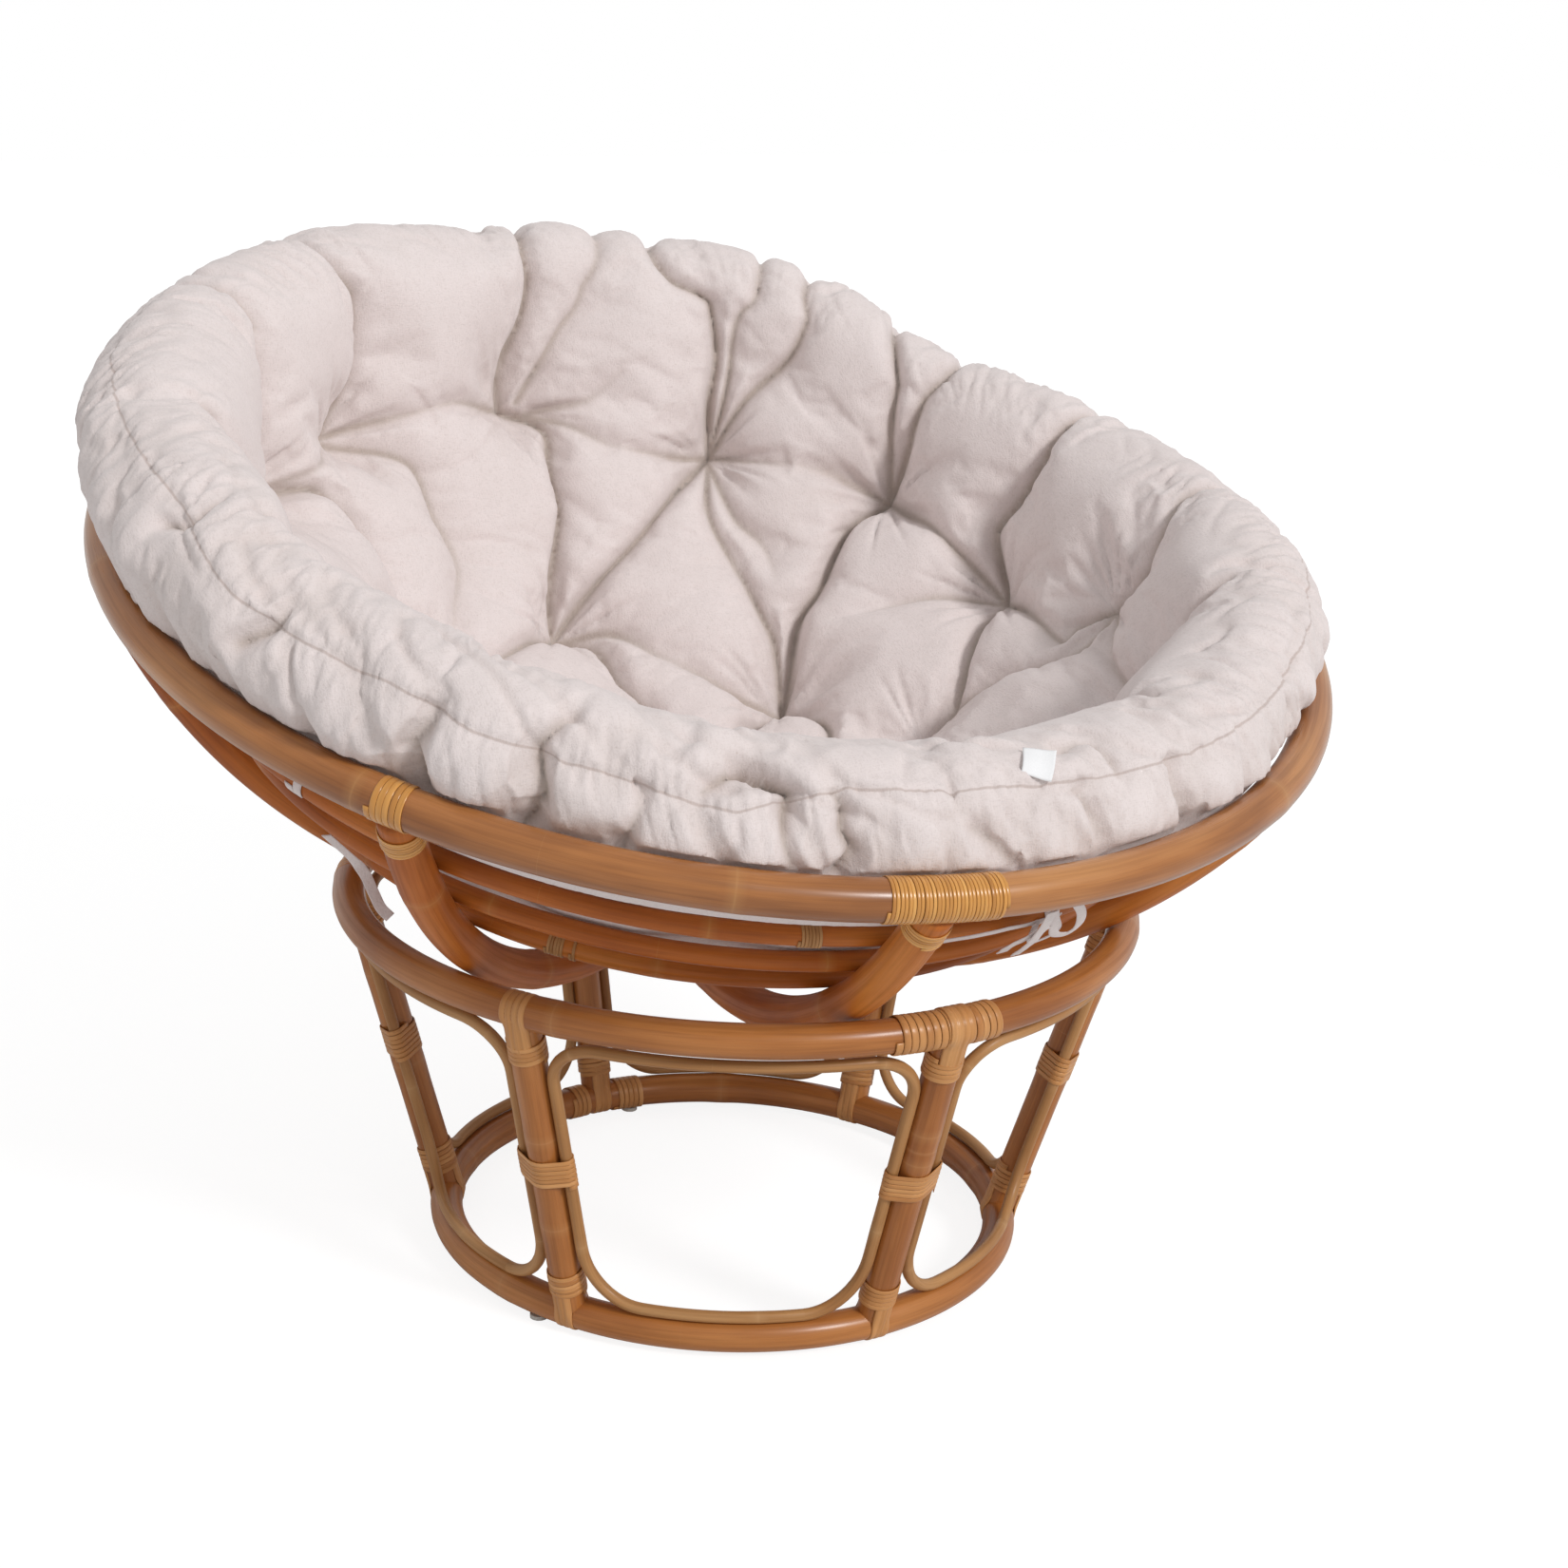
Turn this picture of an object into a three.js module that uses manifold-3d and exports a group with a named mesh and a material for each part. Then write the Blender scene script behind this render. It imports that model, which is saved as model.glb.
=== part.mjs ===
// A round cane lounge chair: a dished bowl of bent poles that rests loose on a round stand,
// with one tufted cushion tied into it. Lengths are in millimetres and turns in degrees.
// Z is up, the front is towards -Y, and the origin is on the floor below the middle.

import * as THREE from "three";
import { mergeVertices } from "three/addons/utils/BufferGeometryUtils.js";
import Module from "manifold-3d";

const wasm = await Module();
wasm.setup();

// Fits shared by all pieces
const touchGap = 0.3;
const cutOverrun = 4;
const weldDistance = 0.001;

// Stand: two rings of thick pole with leaning posts between them
const standPoleRadius = 15;
const topRingRadius = 348;
const topRingHeight = 328;
const bottomRingRadius = 258;
const postCount = 6;
const firstPostTurn = 30;
const lashedPost = 5;
const copeShare = 0.5;

// Thin bent loops that fill the bays between the posts
const loopPoleRadius = 5.3;
const loopTopBend = 42;
const loopBottomBend = 56;

// Plastic glides under the bottom ring
const glideRadius = 8;
const glideHeight = 3.6;
const glideCount = 3;
const firstGlideTurn = 202;

// Bowl: a rim, eight half ribs and four hoops, all on one sphere about the tilt centre
const rimRadius = 535;
const rimDrop = 232;
const rimPoleRadius = 17;
const ribPoleRadius = 17.5;
const ribCount = 8;
const ribTurn = -10.5;
const restTilt = 13.3;
const hoopPoleRadius = 8.5;
const hoopRises = { upper: 55.5, middle: 49, lower: 42 };
const bottomHoopRadius = 130;
const ribFootInset = 48;

// Screw through the crossing of the two long ribs
const screwRadius = 2.6;
const screwHeadRadius = 6;
const screwHeadHeight = 2.5;
const screwBite = 9;

// Cane strip wound round the joints
const stripWidth = 6;
const stripThickness = 1.6;
const stripGap = 0.5;
const stripStepsPerTurn = 8;
const bayLashingTurns = 4;
const postLashingTurns = 3;
const ringLashingTurns = 11;
const ribLashingTurns = 4;
const ribEndsWithoutLashing = [5, 8];
const rimSpliceTurns = 13;
const postLashingInset = 7;

// Cushion
const cushionThickness = 118;
const cushionLipRise = 60;
const leastLipInset = 40;
const lipRiseShares = [0.65, 0.5, 1.2, 1.4, 1.65, 1.7, 1.5, 0.95, 0.55, 0.45, 0.5, 0.85];
const tuftDepth = 62;
const undersideTuftDepth = 14;
const tuftWidth = 62;
const outerTuftCount = 14;
const innerTuftCount = 7;
const outerTuftRise = 55;
const innerTuftRise = 30;
const firstTuftTurn = 12;
const lipPinch = 7;
const cushionStepsPerTuft = 3;

// Blank label and cloth ties sewn to the cushion
const labelWidth = 28;
const labelLength = 22;
const labelThickness = 0.8;
const labelStep = 30;
const labelStepShare = 0.3;
const labelRow = 2;
const tieWidth = 14;
const tieThickness = 3;
const tieFootRise = 46.5;
const tieHoopSteps = { front_cushion_tie: 32, left_cushion_tie: 23 };

// Facets: sides round a pole and steps along it
const thickSides = 12;
const thinSides = 8;
const thinnestSides = 6;
const topRingSteps = 48;
const bottomRingSteps = 36;
const rimSteps = 48;
const hoopSteps = 40;
const bottomHoopSteps = 24;
const loopSteps = 30;
const longRibSteps = 26;
const shortRibSteps = 11;

// Worked out from the sizes above
const bottomRingHeight = glideHeight + touchGap + standPoleRadius;
const bowlRadius = Math.hypot(rimRadius, rimDrop);
const rimTurn = THREE.MathUtils.radToDeg(Math.atan2(rimRadius, rimDrop));
const ribReach = bowlRadius + ribPoleRadius;
const tiltCentreHeight =
  topRingHeight + Math.sqrt((ribReach + touchGap + standPoleRadius) ** 2 - topRingRadius ** 2);
const stripPitch = stripWidth + stripGap;

// How far the middle of a facet falls short of the round that its corners lie on
const facetSag = (radius, steps) => radius * (1 - Math.cos(Math.PI / steps));
const ribSag = bowlRadius * (1 - Math.cos(THREE.MathUtils.degToRad(rimTurn / longRibSteps)));
const hoopSphereRadius = bowlRadius - ribPoleRadius - ribSag - touchGap - hoopPoleRadius;
const hoopSlopeShare = Math.sin(THREE.MathUtils.degToRad(hoopRises.upper)) ** 2;
const hoopSag = facetSag(hoopSphereRadius, hoopSteps) * hoopSlopeShare;
const cushionSphereRadius = hoopSphereRadius - hoopPoleRadius - hoopSag - touchGap;

const colours = {
  stand: 0xc08a55,
  loop: 0xd9b07a,
  strip: 0xdcb684,
  rim: 0xb97c45,
  rib: 0xb0682f,
  glide: 0xe8e6e2,
  steel: 0xb9bcc0,
  cushion: 0xe6dcd2,
  label: 0xf7f7f7,
};

const materials = Object.fromEntries(
  Object.entries(colours).map(([name, color]) => [
    name,
    new THREE.MeshStandardMaterial({
      color,
      roughness: ["cushion", "label"].includes(name) ? 0.95 : 0.5,
      metalness: name === "steel" ? 0.9 : 0,
    }),
  ]),
);

const radians = THREE.MathUtils.degToRad;

function mesh(name, geometry, material) {
  const made = new THREE.Mesh(geometry, material);
  made.name = name;
  return made;
}

function turned(child, degrees) {
  const group = new THREE.Group();
  group.rotation.z = radians(degrees);
  group.add(child);
  return group;
}

// Solids for joining and cutting
function solidOf(geometry) {
  const bare = geometry.clone();
  bare.deleteAttribute("normal");
  bare.deleteAttribute("uv");
  const merged = mergeVertices(bare, weldDistance);
  return new wasm.Manifold(
    new wasm.Mesh({
      numProp: 3,
      vertProperties: merged.attributes.position.array,
      triVerts: new Uint32Array(merged.index.array),
    }),
  );
}

function geometryOf(solid) {
  const { vertProperties, triVerts } = solid.getMesh();
  const geometry = new THREE.BufferGeometry();
  geometry.setAttribute("position", new THREE.BufferAttribute(vertProperties, 3));
  geometry.setIndex(new THREE.BufferAttribute(triVerts, 1));
  geometry.computeVertexNormals();
  return geometry;
}

function cut(geometry, ...tools) {
  return geometryOf(tools.reduce((solid, tool) => solid.subtract(solidOf(tool)), solidOf(geometry)));
}

// A level ring of pole about Z. One corner of its section points along the facing turn.
function ring({ radius, height, poleRadius, sides, steps, facing = 0 }) {
  const profile = [];
  for (let i = 0; i <= sides; i += 1) {
    const turn = radians(facing) + (i / sides) * 2 * Math.PI;
    profile.push(
      new THREE.Vector2(radius + poleRadius * Math.cos(turn), height + poleRadius * Math.sin(turn)),
    );
  }
  return new THREE.LatheGeometry(profile, steps).rotateX(Math.PI / 2);
}

function roundPoints(radius, sides) {
  return Array.from({ length: sides }, (_, i) => {
    const turn = (i / sides) * 2 * Math.PI;
    return new THREE.Vector2(radius * Math.cos(turn), radius * Math.sin(turn));
  });
}

function pole(curve, poleRadius, sides, steps) {
  const section = new THREE.Shape(roundPoints(poleRadius, sides));
  return new THREE.ExtrudeGeometry(section, { steps, bevelEnabled: false, extrudePath: curve });
}

// A point in the XZ plane at a distance from the tilt centre, its rise counted from straight down
function spherePoint(distance, rise) {
  return new THREE.Vector3(
    distance * Math.sin(radians(rise)),
    0,
    -distance * Math.cos(radians(rise)),
  );
}

class BowlArc extends THREE.Curve {
  constructor(distance, fromRise, toRise) {
    super();
    Object.assign(this, { distance, fromRise, toRise });
  }

  getPoint(share, target = new THREE.Vector3()) {
    const rise = THREE.MathUtils.lerp(this.fromRise, this.toRise, share);
    return target.copy(spherePoint(this.distance, rise));
  }
}

// Windings of flat cane strip
function lashedRadius(poleRadius) {
  const mitre = 1 / Math.cos(Math.PI / stripStepsPerTurn);
  return (poleRadius + touchGap + stripThickness) * mitre;
}

// A faceted cutting ring of this radius clears the winding on its flats too
function lashedCutRadius(poleRadius) {
  return (lashedRadius(poleRadius) + touchGap) / Math.cos(Math.PI / thickSides);
}

// Each corner of an outline gets the mitre that keeps the strip's thickness even
function mitred(points) {
  const edgeNormal = (a, b) => new THREE.Vector2(b.y - a.y, a.x - b.x).normalize();
  return points.map((point, i) => {
    const before = edgeNormal(points.at(i - 1), point);
    const after = edgeNormal(point, points[(i + 1) % points.length]);
    const mitre = before.clone().add(after).divideScalar(1 + before.dot(after));
    return { point, mitre };
  });
}

function poleOutline(poleRadius) {
  const middle = poleRadius + touchGap + stripThickness / 2;
  const corner = middle / Math.cos(Math.PI / stripStepsPerTurn);
  return mitred(roundPoints(corner, stripStepsPerTurn));
}

// Round a post with a loop's pole on each side of it: eight corners of the tight hull
function bayOutline(sideOffset, sideSag) {
  const bigRadius = standPoleRadius + touchGap + stripThickness / 2;
  const smallRadius = loopPoleRadius + touchGap + stripThickness / 2 + sideSag;
  const slope = Math.asin((bigRadius - smallRadius) / sideOffset);
  const endX = sideOffset + smallRadius;
  const endY = (bigRadius - endX * Math.sin(slope)) / Math.cos(slope);
  const flatX = (bigRadius - bigRadius * Math.cos(slope)) / Math.sin(slope);
  const corners = [
    [endX, -endY],
    [endX, endY],
    [flatX, bigRadius],
    [-flatX, bigRadius],
    [-endX, endY],
    [-endX, -endY],
    [-flatX, -bigRadius],
    [flatX, -bigRadius],
  ];
  return mitred(corners.map(([x, y]) => new THREE.Vector2(x, y)));
}

// Least distance between section corners that lie a turn or more apart on one winding
function leastGap(sections, stepsPerTurn) {
  let least = Infinity;
  sections.forEach((section, i) => {
    sections.slice(i + stepsPerTurn).forEach((other) => {
      section.forEach((a) => other.forEach((b) => (least = Math.min(least, a.distanceTo(b)))));
    });
  });
  return least;
}

const windingGaps = new Map();

// One unbroken strip, wound in a helix round an outline that a spine carries along
function winding(kind, outline, turns, spineAt) {
  const stepCount = turns * outline.length;
  const half = { out: stripThickness / 2, along: stripWidth / 2 };
  const sectionCorners = [
    [-half.along, -half.out],
    [half.along, -half.out],
    [half.along, half.out],
    [-half.along, half.out],
  ];
  const sections = [];
  for (let step = 0; step <= stepCount; step += 1) {
    const { point, mitre } = outline[step % outline.length];
    const along = (step / outline.length - turns / 2) * stripPitch;
    sections.push(
      sectionCorners.map(([side, out]) =>
        new THREE.Vector3(point.x + mitre.x * out, point.y + mitre.y * out, 0).applyMatrix4(
          spineAt(along + side),
        ),
      ),
    );
  }
  windingGaps.set(kind, leastGap(sections, outline.length));
  const sides = sectionCorners.length;
  const positions = sections.flat().flatMap((corner) => corner.toArray());
  const index = [];
  for (let step = 0; step < stepCount; step += 1) {
    for (let side = 0; side < sides; side += 1) {
      const a = step * sides + side;
      const b = step * sides + ((side + 1) % sides);
      index.push(a, b, b + sides, a, b + sides, a + sides);
    }
  }
  const last = stepCount * sides;
  index.push(0, 2, 1, 0, 3, 2, last, last + 1, last + 2, last, last + 2, last + 3);
  const geometry = new THREE.BufferGeometry();
  geometry.setAttribute("position", new THREE.Float32BufferAttribute(positions, 3));
  geometry.setIndex(index);
  geometry.computeVertexNormals();
  return geometry;
}

// A spine along a ring's own facets, either way from the corner that lies along X
function ringSpine({ radius, height, steps }) {
  const halfFacet = Math.PI / steps;
  return (distance) => {
    const turn = distance / radius;
    const fromMiddle = THREE.MathUtils.euclideanModulo(turn, 2 * halfFacet) - halfFacet;
    const reach = (radius * Math.cos(halfFacet)) / Math.cos(fromMiddle);
    const outward = new THREE.Vector3(Math.cos(turn), Math.sin(turn), 0);
    const along = new THREE.Vector3(-Math.sin(turn), Math.cos(turn), 0);
    const down = new THREE.Vector3(0, 0, -1);
    return new THREE.Matrix4()
      .makeBasis(outward, down, along)
      .setPosition(reach * outward.x, reach * outward.y, height);
  };
}

// The stand's posts lean along this line, in the XZ plane
const postFoot = new THREE.Vector3(bottomRingRadius, 0, bottomRingHeight);
const postHead = new THREE.Vector3(topRingRadius, 0, topRingHeight);
const postSlant = postHead.distanceTo(postFoot);
const postDirection = postHead.clone().sub(postFoot).normalize();

function postSpine(centre) {
  const sideways = new THREE.Vector3(0, 1, 0);
  const inward = postDirection.clone().cross(sideways);
  return (distance) =>
    new THREE.Matrix4()
      .makeBasis(sideways, inward, postDirection)
      .setPosition(postFoot.clone().addScaledVector(postDirection, centre + distance));
}

function standRadiusAt(slant) {
  return THREE.MathUtils.lerp(bottomRingRadius, topRingRadius, slant / postSlant);
}

const topRingShape = {
  radius: topRingRadius,
  height: topRingHeight,
  poleRadius: standPoleRadius,
  sides: thickSides,
  steps: topRingSteps,
};
const bottomRingShape = {
  radius: bottomRingRadius,
  height: bottomRingHeight,
  poleRadius: standPoleRadius,
  sides: thickSides,
  steps: bottomRingSteps,
};

// A post coped to both rings, or to the winding round the top ring where it has one
function postGeometry(topCutRadius) {
  const setback = standPoleRadius * copeShare;
  const foot = postFoot.clone().addScaledVector(postDirection, setback);
  const head = postHead.clone().addScaledVector(postDirection, -setback);
  return cut(
    pole(new THREE.LineCurve3(foot, head), standPoleRadius, thickSides, 1),
    ring({ ...topRingShape, poleRadius: topCutRadius }),
    ring({ ...bottomRingShape, poleRadius: standPoleRadius + touchGap }),
  );
}

// A bay's loop: a rounded frame drawn flat, then bent onto the cone between the rings
const loopSideOffset = standPoleRadius + touchGap + loopPoleRadius;

function loopGeometry() {
  const low = standPoleRadius + touchGap + loopPoleRadius;
  const high = postSlant - lashedRadius(standPoleRadius) - touchGap - loopPoleRadius;
  const halfBay = Math.PI / postCount;
  const sideTurn = (slant) => halfBay - Math.asin(loopSideOffset / standRadiusAt(slant));
  const middle = (low + high) / 2;
  const halfWidth = standRadiusAt(middle) * sideTurn(middle);
  const flat = new THREE.Path();
  flat.moveTo(-halfWidth + loopBottomBend, low);
  flat.lineTo(halfWidth - loopBottomBend, low);
  flat.absarc(halfWidth - loopBottomBend, low + loopBottomBend, loopBottomBend, -Math.PI / 2, 0);
  flat.lineTo(halfWidth, high - loopTopBend);
  flat.absarc(halfWidth - loopTopBend, high - loopTopBend, loopTopBend, 0, Math.PI / 2);
  flat.lineTo(-halfWidth + loopTopBend, high);
  flat.absarc(-halfWidth + loopTopBend, high - loopTopBend, loopTopBend, Math.PI / 2, Math.PI);
  flat.lineTo(-halfWidth, low + loopBottomBend);
  flat.absarc(
    -halfWidth + loopBottomBend,
    low + loopBottomBend,
    loopBottomBend,
    Math.PI,
    (3 * Math.PI) / 2,
  );
  const bent = flat.getSpacedPoints(loopSteps * 2).slice(0, -1).map(({ x, y }) => {
    const turn = (x / halfWidth) * sideTurn(y);
    const point = postFoot.clone().addScaledVector(postDirection, y);
    return point.applyAxisAngle(new THREE.Vector3(0, 0, 1), turn);
  });
  const curve = new THREE.CatmullRomCurve3(bent, true);
  return new THREE.TubeGeometry(curve, loopSteps, loopPoleRadius, thinnestSides, true);
}

function buildStand() {
  const stand = new THREE.Group();
  stand.add(mesh("stand_top_ring", ring(topRingShape), materials.stand));
  stand.add(mesh("stand_bottom_ring", ring(bottomRingShape), materials.stand));

  const post = postGeometry(standPoleRadius + touchGap);
  const postUnderWinding = postGeometry(lashedCutRadius(standPoleRadius));
  const loop = loopGeometry();
  const headroom = lashedRadius(standPoleRadius) + postLashingInset;
  const halfLashing = (postLashingTurns * stripPitch) / 2;
  const around = poleOutline(standPoleRadius);
  const middleSag =
    standRadiusAt(postSlant / 2) - Math.sqrt(standRadiusAt(postSlant / 2) ** 2 - loopSideOffset ** 2);
  const lashings = {
    top: winding("post top", around, postLashingTurns, postSpine(postSlant - headroom - halfLashing)),
    middle: winding(
      "post and loops",
      bayOutline(loopSideOffset, middleSag),
      bayLashingTurns,
      postSpine(postSlant / 2),
    ),
    bottom: winding("post foot", around, postLashingTurns, postSpine(headroom + halfLashing)),
  };

  for (let i = 0; i < postCount; i += 1) {
    const label = i + 1;
    const turn = firstPostTurn + (i * 360) / postCount;
    const shape = label === lashedPost ? postUnderWinding : post;
    stand.add(turned(mesh(`stand_post_${label}`, shape, materials.stand), turn));
    stand.add(turned(mesh(`bay_loop_${label}`, loop, materials.loop), turn + 180 / postCount));
    for (const [place, geometry] of Object.entries(lashings)) {
      stand.add(turned(mesh(`post_${label}_${place}_lashing`, geometry, materials.strip), turn));
    }
  }

  const lashedTurn = firstPostTurn + ((lashedPost - 1) * 360) / postCount;
  const spine = ringSpine(topRingShape);
  const ringLashing = winding("top ring", around, ringLashingTurns, spine);
  stand.add(turned(mesh("top_ring_lashing", ringLashing, materials.strip), lashedTurn));

  for (let i = 0; i < glideCount; i += 1) {
    const glide = new THREE.CylinderGeometry(glideRadius, glideRadius, glideHeight, thickSides)
      .rotateX(Math.PI / 2)
      .translate(bottomRingRadius, 0, glideHeight / 2);
    const turn = firstGlideTurn + (i * 360) / glideCount;
    stand.add(turned(mesh(`stand_glide_${i + 1}`, glide, materials.glide), turn));
  }
  return stand;
}

// Ribs: two long ones lapped over each other at the bottom and four short ones between them
const rimShape = {
  radius: rimRadius,
  height: -rimDrop,
  poleRadius: rimPoleRadius,
  sides: thickSides,
  steps: rimSteps,
};
const rimCut = ring({ ...rimShape, poleRadius: lashedCutRadius(rimPoleRadius) });
const ribEndRise = rimTurn - THREE.MathUtils.radToDeg((rimPoleRadius * copeShare) / bowlRadius);

function longRib(keepsLowerHalf) {
  const arc = new BowlArc(bowlRadius, -ribEndRise, ribEndRise);
  const notchHeight = ribPoleRadius + cutOverrun;
  const notch = new THREE.BoxGeometry(
    2 * (ribPoleRadius + touchGap),
    2 * (ribPoleRadius + cutOverrun),
    notchHeight,
  );
  const side = keepsLowerHalf ? 1 : -1;
  notch.translate(0, 0, -bowlRadius + side * (notchHeight / 2 - touchGap / 2));
  const screwHole = new THREE.CylinderGeometry(
    screwRadius + touchGap,
    screwRadius + touchGap,
    ribPoleRadius + cutOverrun + screwBite + touchGap,
    thinSides,
  ).rotateX(Math.PI / 2);
  screwHole.translate(0, 0, -bowlRadius + (screwBite + touchGap - ribPoleRadius - cutOverrun) / 2);
  return cut(pole(arc, ribPoleRadius, thinSides, longRibSteps), notch, screwHole, rimCut);
}

function shortRib() {
  const footRise = THREE.MathUtils.radToDeg(
    Math.asin((bottomHoopRadius - ribFootInset) / bowlRadius),
  );
  const arc = new BowlArc(bowlRadius, footRise, ribEndRise);
  return cut(pole(arc, ribPoleRadius, thinSides, shortRibSteps), rimCut);
}

function crossingScrew() {
  const headFace = -bowlRadius - ribPoleRadius - touchGap;
  const profile = [
    [0, headFace - screwHeadHeight],
    [screwHeadRadius * copeShare, headFace - screwHeadHeight],
    [screwHeadRadius, headFace],
    [screwRadius, headFace],
    [screwRadius, -bowlRadius + screwBite - screwRadius],
    [0, -bowlRadius + screwBite],
  ].map(([radius, height]) => new THREE.Vector2(radius, height));
  return new THREE.LatheGeometry(profile, thinSides).rotateX(Math.PI / 2);
}

function hoop(rise, steps) {
  const place = spherePoint(hoopSphereRadius, rise);
  return ring({
    radius: place.x,
    height: place.z,
    poleRadius: hoopPoleRadius,
    sides: thinnestSides,
    steps,
    facing: rise - 90,
  });
}

function buildBowlFrame() {
  const frame = new THREE.Group();
  frame.rotation.z = radians(ribTurn);
  frame.add(mesh("bowl_rim", ring(rimShape), materials.rim));
  frame.add(mesh("long_rib_side", longRib(true), materials.rib));
  frame.add(turned(mesh("long_rib_front", longRib(false), materials.rib), 90));
  const short = shortRib();
  for (let i = 0; i < ribCount / 2; i += 1) {
    const turn = ((i + 0.5) * 720) / ribCount;
    frame.add(turned(mesh(`short_rib_${i + 1}`, short, materials.rib), turn));
  }
  frame.add(mesh("crossing_screw", crossingScrew(), materials.steel));

  for (const [place, rise] of Object.entries(hoopRises)) {
    frame.add(mesh(`${place}_hoop`, hoop(rise, hoopSteps), materials.rib));
  }
  const bottomRise = THREE.MathUtils.radToDeg(Math.asin(bottomHoopRadius / hoopSphereRadius));
  frame.add(mesh("bottom_hoop", hoop(bottomRise, bottomHoopSteps), materials.rib));

  const tie = tieGeometry();
  for (const [name, step] of Object.entries(tieHoopSteps)) {
    frame.add(turned(mesh(name, tie, materials.cushion), (step * 360) / hoopSteps));
  }

  const around = poleOutline(rimPoleRadius);
  const spine = ringSpine(rimShape);
  const ribLashing = winding("rib top", around, ribLashingTurns, spine);
  const rimSplice = winding("rim splice", around, rimSpliceTurns, spine);
  for (let i = 0; i < ribCount; i += 1) {
    if (ribEndsWithoutLashing.includes(i + 1)) continue;
    const turn = (i * 360) / ribCount;
    const atSplice = turn === 270;
    const name = atSplice ? "rim_splice_lashing" : `rib_lashing_${i + 1}`;
    frame.add(turned(mesh(name, atSplice ? rimSplice : ribLashing, materials.strip), turn));
  }
  return frame;
}

// Cushion: a thick tufted pad that lines the bowl and rolls over at the rim. Its soft lip
// stands high at the back left and slumps at the right and front.
function lipShareAt(turn) {
  const place = (THREE.MathUtils.euclideanModulo(turn, 360) / 360) * lipRiseShares.length;
  const before = Math.floor(place);
  const after = (before + 1) % lipRiseShares.length;
  const blend = THREE.MathUtils.smoothstep(place - before, 0, 1);
  return THREE.MathUtils.lerp(lipRiseShares[before], lipRiseShares[after], blend);
}

const rimClearance = lashedCutRadius(rimPoleRadius) + stripThickness;

// The middle of the lip's round section: it rests against the lashed rim where the lip is low
// and leans out over the rim where it is high
function lipAt(turn) {
  const lift = cushionLipRise * lipShareAt(turn);
  const reach = rimClearance + cushionThickness / 2;
  const inset = Math.sqrt(Math.max(reach ** 2 - lift ** 2, leastLipInset ** 2));
  const centre = new THREE.Vector3(rimRadius - inset, 0, lift - rimDrop);
  const rise = THREE.MathUtils.radToDeg(Math.atan2(centre.x, -centre.z));
  return { centre, rise };
}

function tuftPlaces() {
  const places = [spherePoint(1, 0)];
  const addRow = (count, rise) => {
    for (let i = 0; i < count; i += 1) {
      const turn = radians(firstTuftTurn + 360 / outerTuftCount + (i * 360) / count);
      places.push(spherePoint(1, rise).applyAxisAngle(new THREE.Vector3(0, 0, 1), turn));
    }
  };
  addRow(innerTuftCount, innerTuftRise);
  addRow(outerTuftCount, outerTuftRise);
  return places;
}

const tufts = tuftPlaces();

// From 1 at a tuft down to 0 away from all of them
function tuftPull(direction, distance) {
  return tufts.reduce((pull, tuft) => {
    const away = (distance * direction.angleTo(tuft)) / tuftWidth;
    return Math.max(pull, Math.exp(-2 * away * away));
  }, 0);
}

// The pad's outer face lies on the hoops, then flares a little up to the lashed rim
function outerDistance(rise) {
  const flare = THREE.MathUtils.clamp((rise - hoopRises.upper) / (rimTurn - hoopRises.upper), 0, 1);
  return THREE.MathUtils.lerp(cushionSphereRadius, bowlRadius - rimClearance, flare);
}

// A point of the cushion's skin. The outer and inner faces are named by their rise, or by the
// share of the way from the upper hoop to the lip, and the lip by its roll from 0 to 1.
function cushionPoint({ face, rise, lipShare, roll }, turn) {
  const spin = (point) => point.applyAxisAngle(new THREE.Vector3(0, 0, 1), radians(turn));
  const lip = lipAt(turn);
  if (face === "lip") {
    const scallop = Math.cos(radians((turn - firstTuftTurn) * outerTuftCount));
    const radius = cushionThickness / 2 - (lipPinch * (1 + scallop) * Math.sin(Math.PI * roll)) / 2;
    const point = lip.centre.clone();
    point.addScaledVector(spherePoint(1, lip.rise), radius * Math.cos(Math.PI * roll));
    point.addScaledVector(spherePoint(1, lip.rise + 90), radius * Math.sin(Math.PI * roll));
    return spin(point);
  }
  const faceRise =
    rise ?? Math.min(rimTurn, THREE.MathUtils.lerp(hoopRises.upper, lip.rise, lipShare));
  const outer = outerDistance(faceRise);
  const pull = tuftPull(spin(spherePoint(1, faceRise)), outer);
  const distance =
    face === "outer"
      ? outer - undersideTuftDepth * pull
      : outer - cushionThickness + (tuftDepth - undersideTuftDepth) * pull;
  return spin(spherePoint(distance, faceRise));
}

const outerRises = [10, 21, innerTuftRise, hoopRises.lower, hoopRises.middle, hoopRises.upper];
const lipRollShares = [0, 0.2, 0.4, 0.6, 0.8, 1];
const innerRises = [outerTuftRise, 47.5, 39, innerTuftRise, 21, 11];
const nearLipShares = { outer: 0.6, inner: 0.38 };
const cushionRings = [
  ...outerRises.map((rise) => ({ face: "outer", rise })),
  { face: "outer", lipShare: nearLipShares.outer },
  ...lipRollShares.map((roll) => ({ face: "lip", roll })),
  { face: "inner", lipShare: nearLipShares.inner },
  ...innerRises.map((rise) => ({ face: "inner", rise })),
];
const cushionSteps = outerTuftCount * cushionStepsPerTuft;
const cushionTurnAt = (step) => firstTuftTurn + (step * 360) / cushionSteps;

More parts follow.
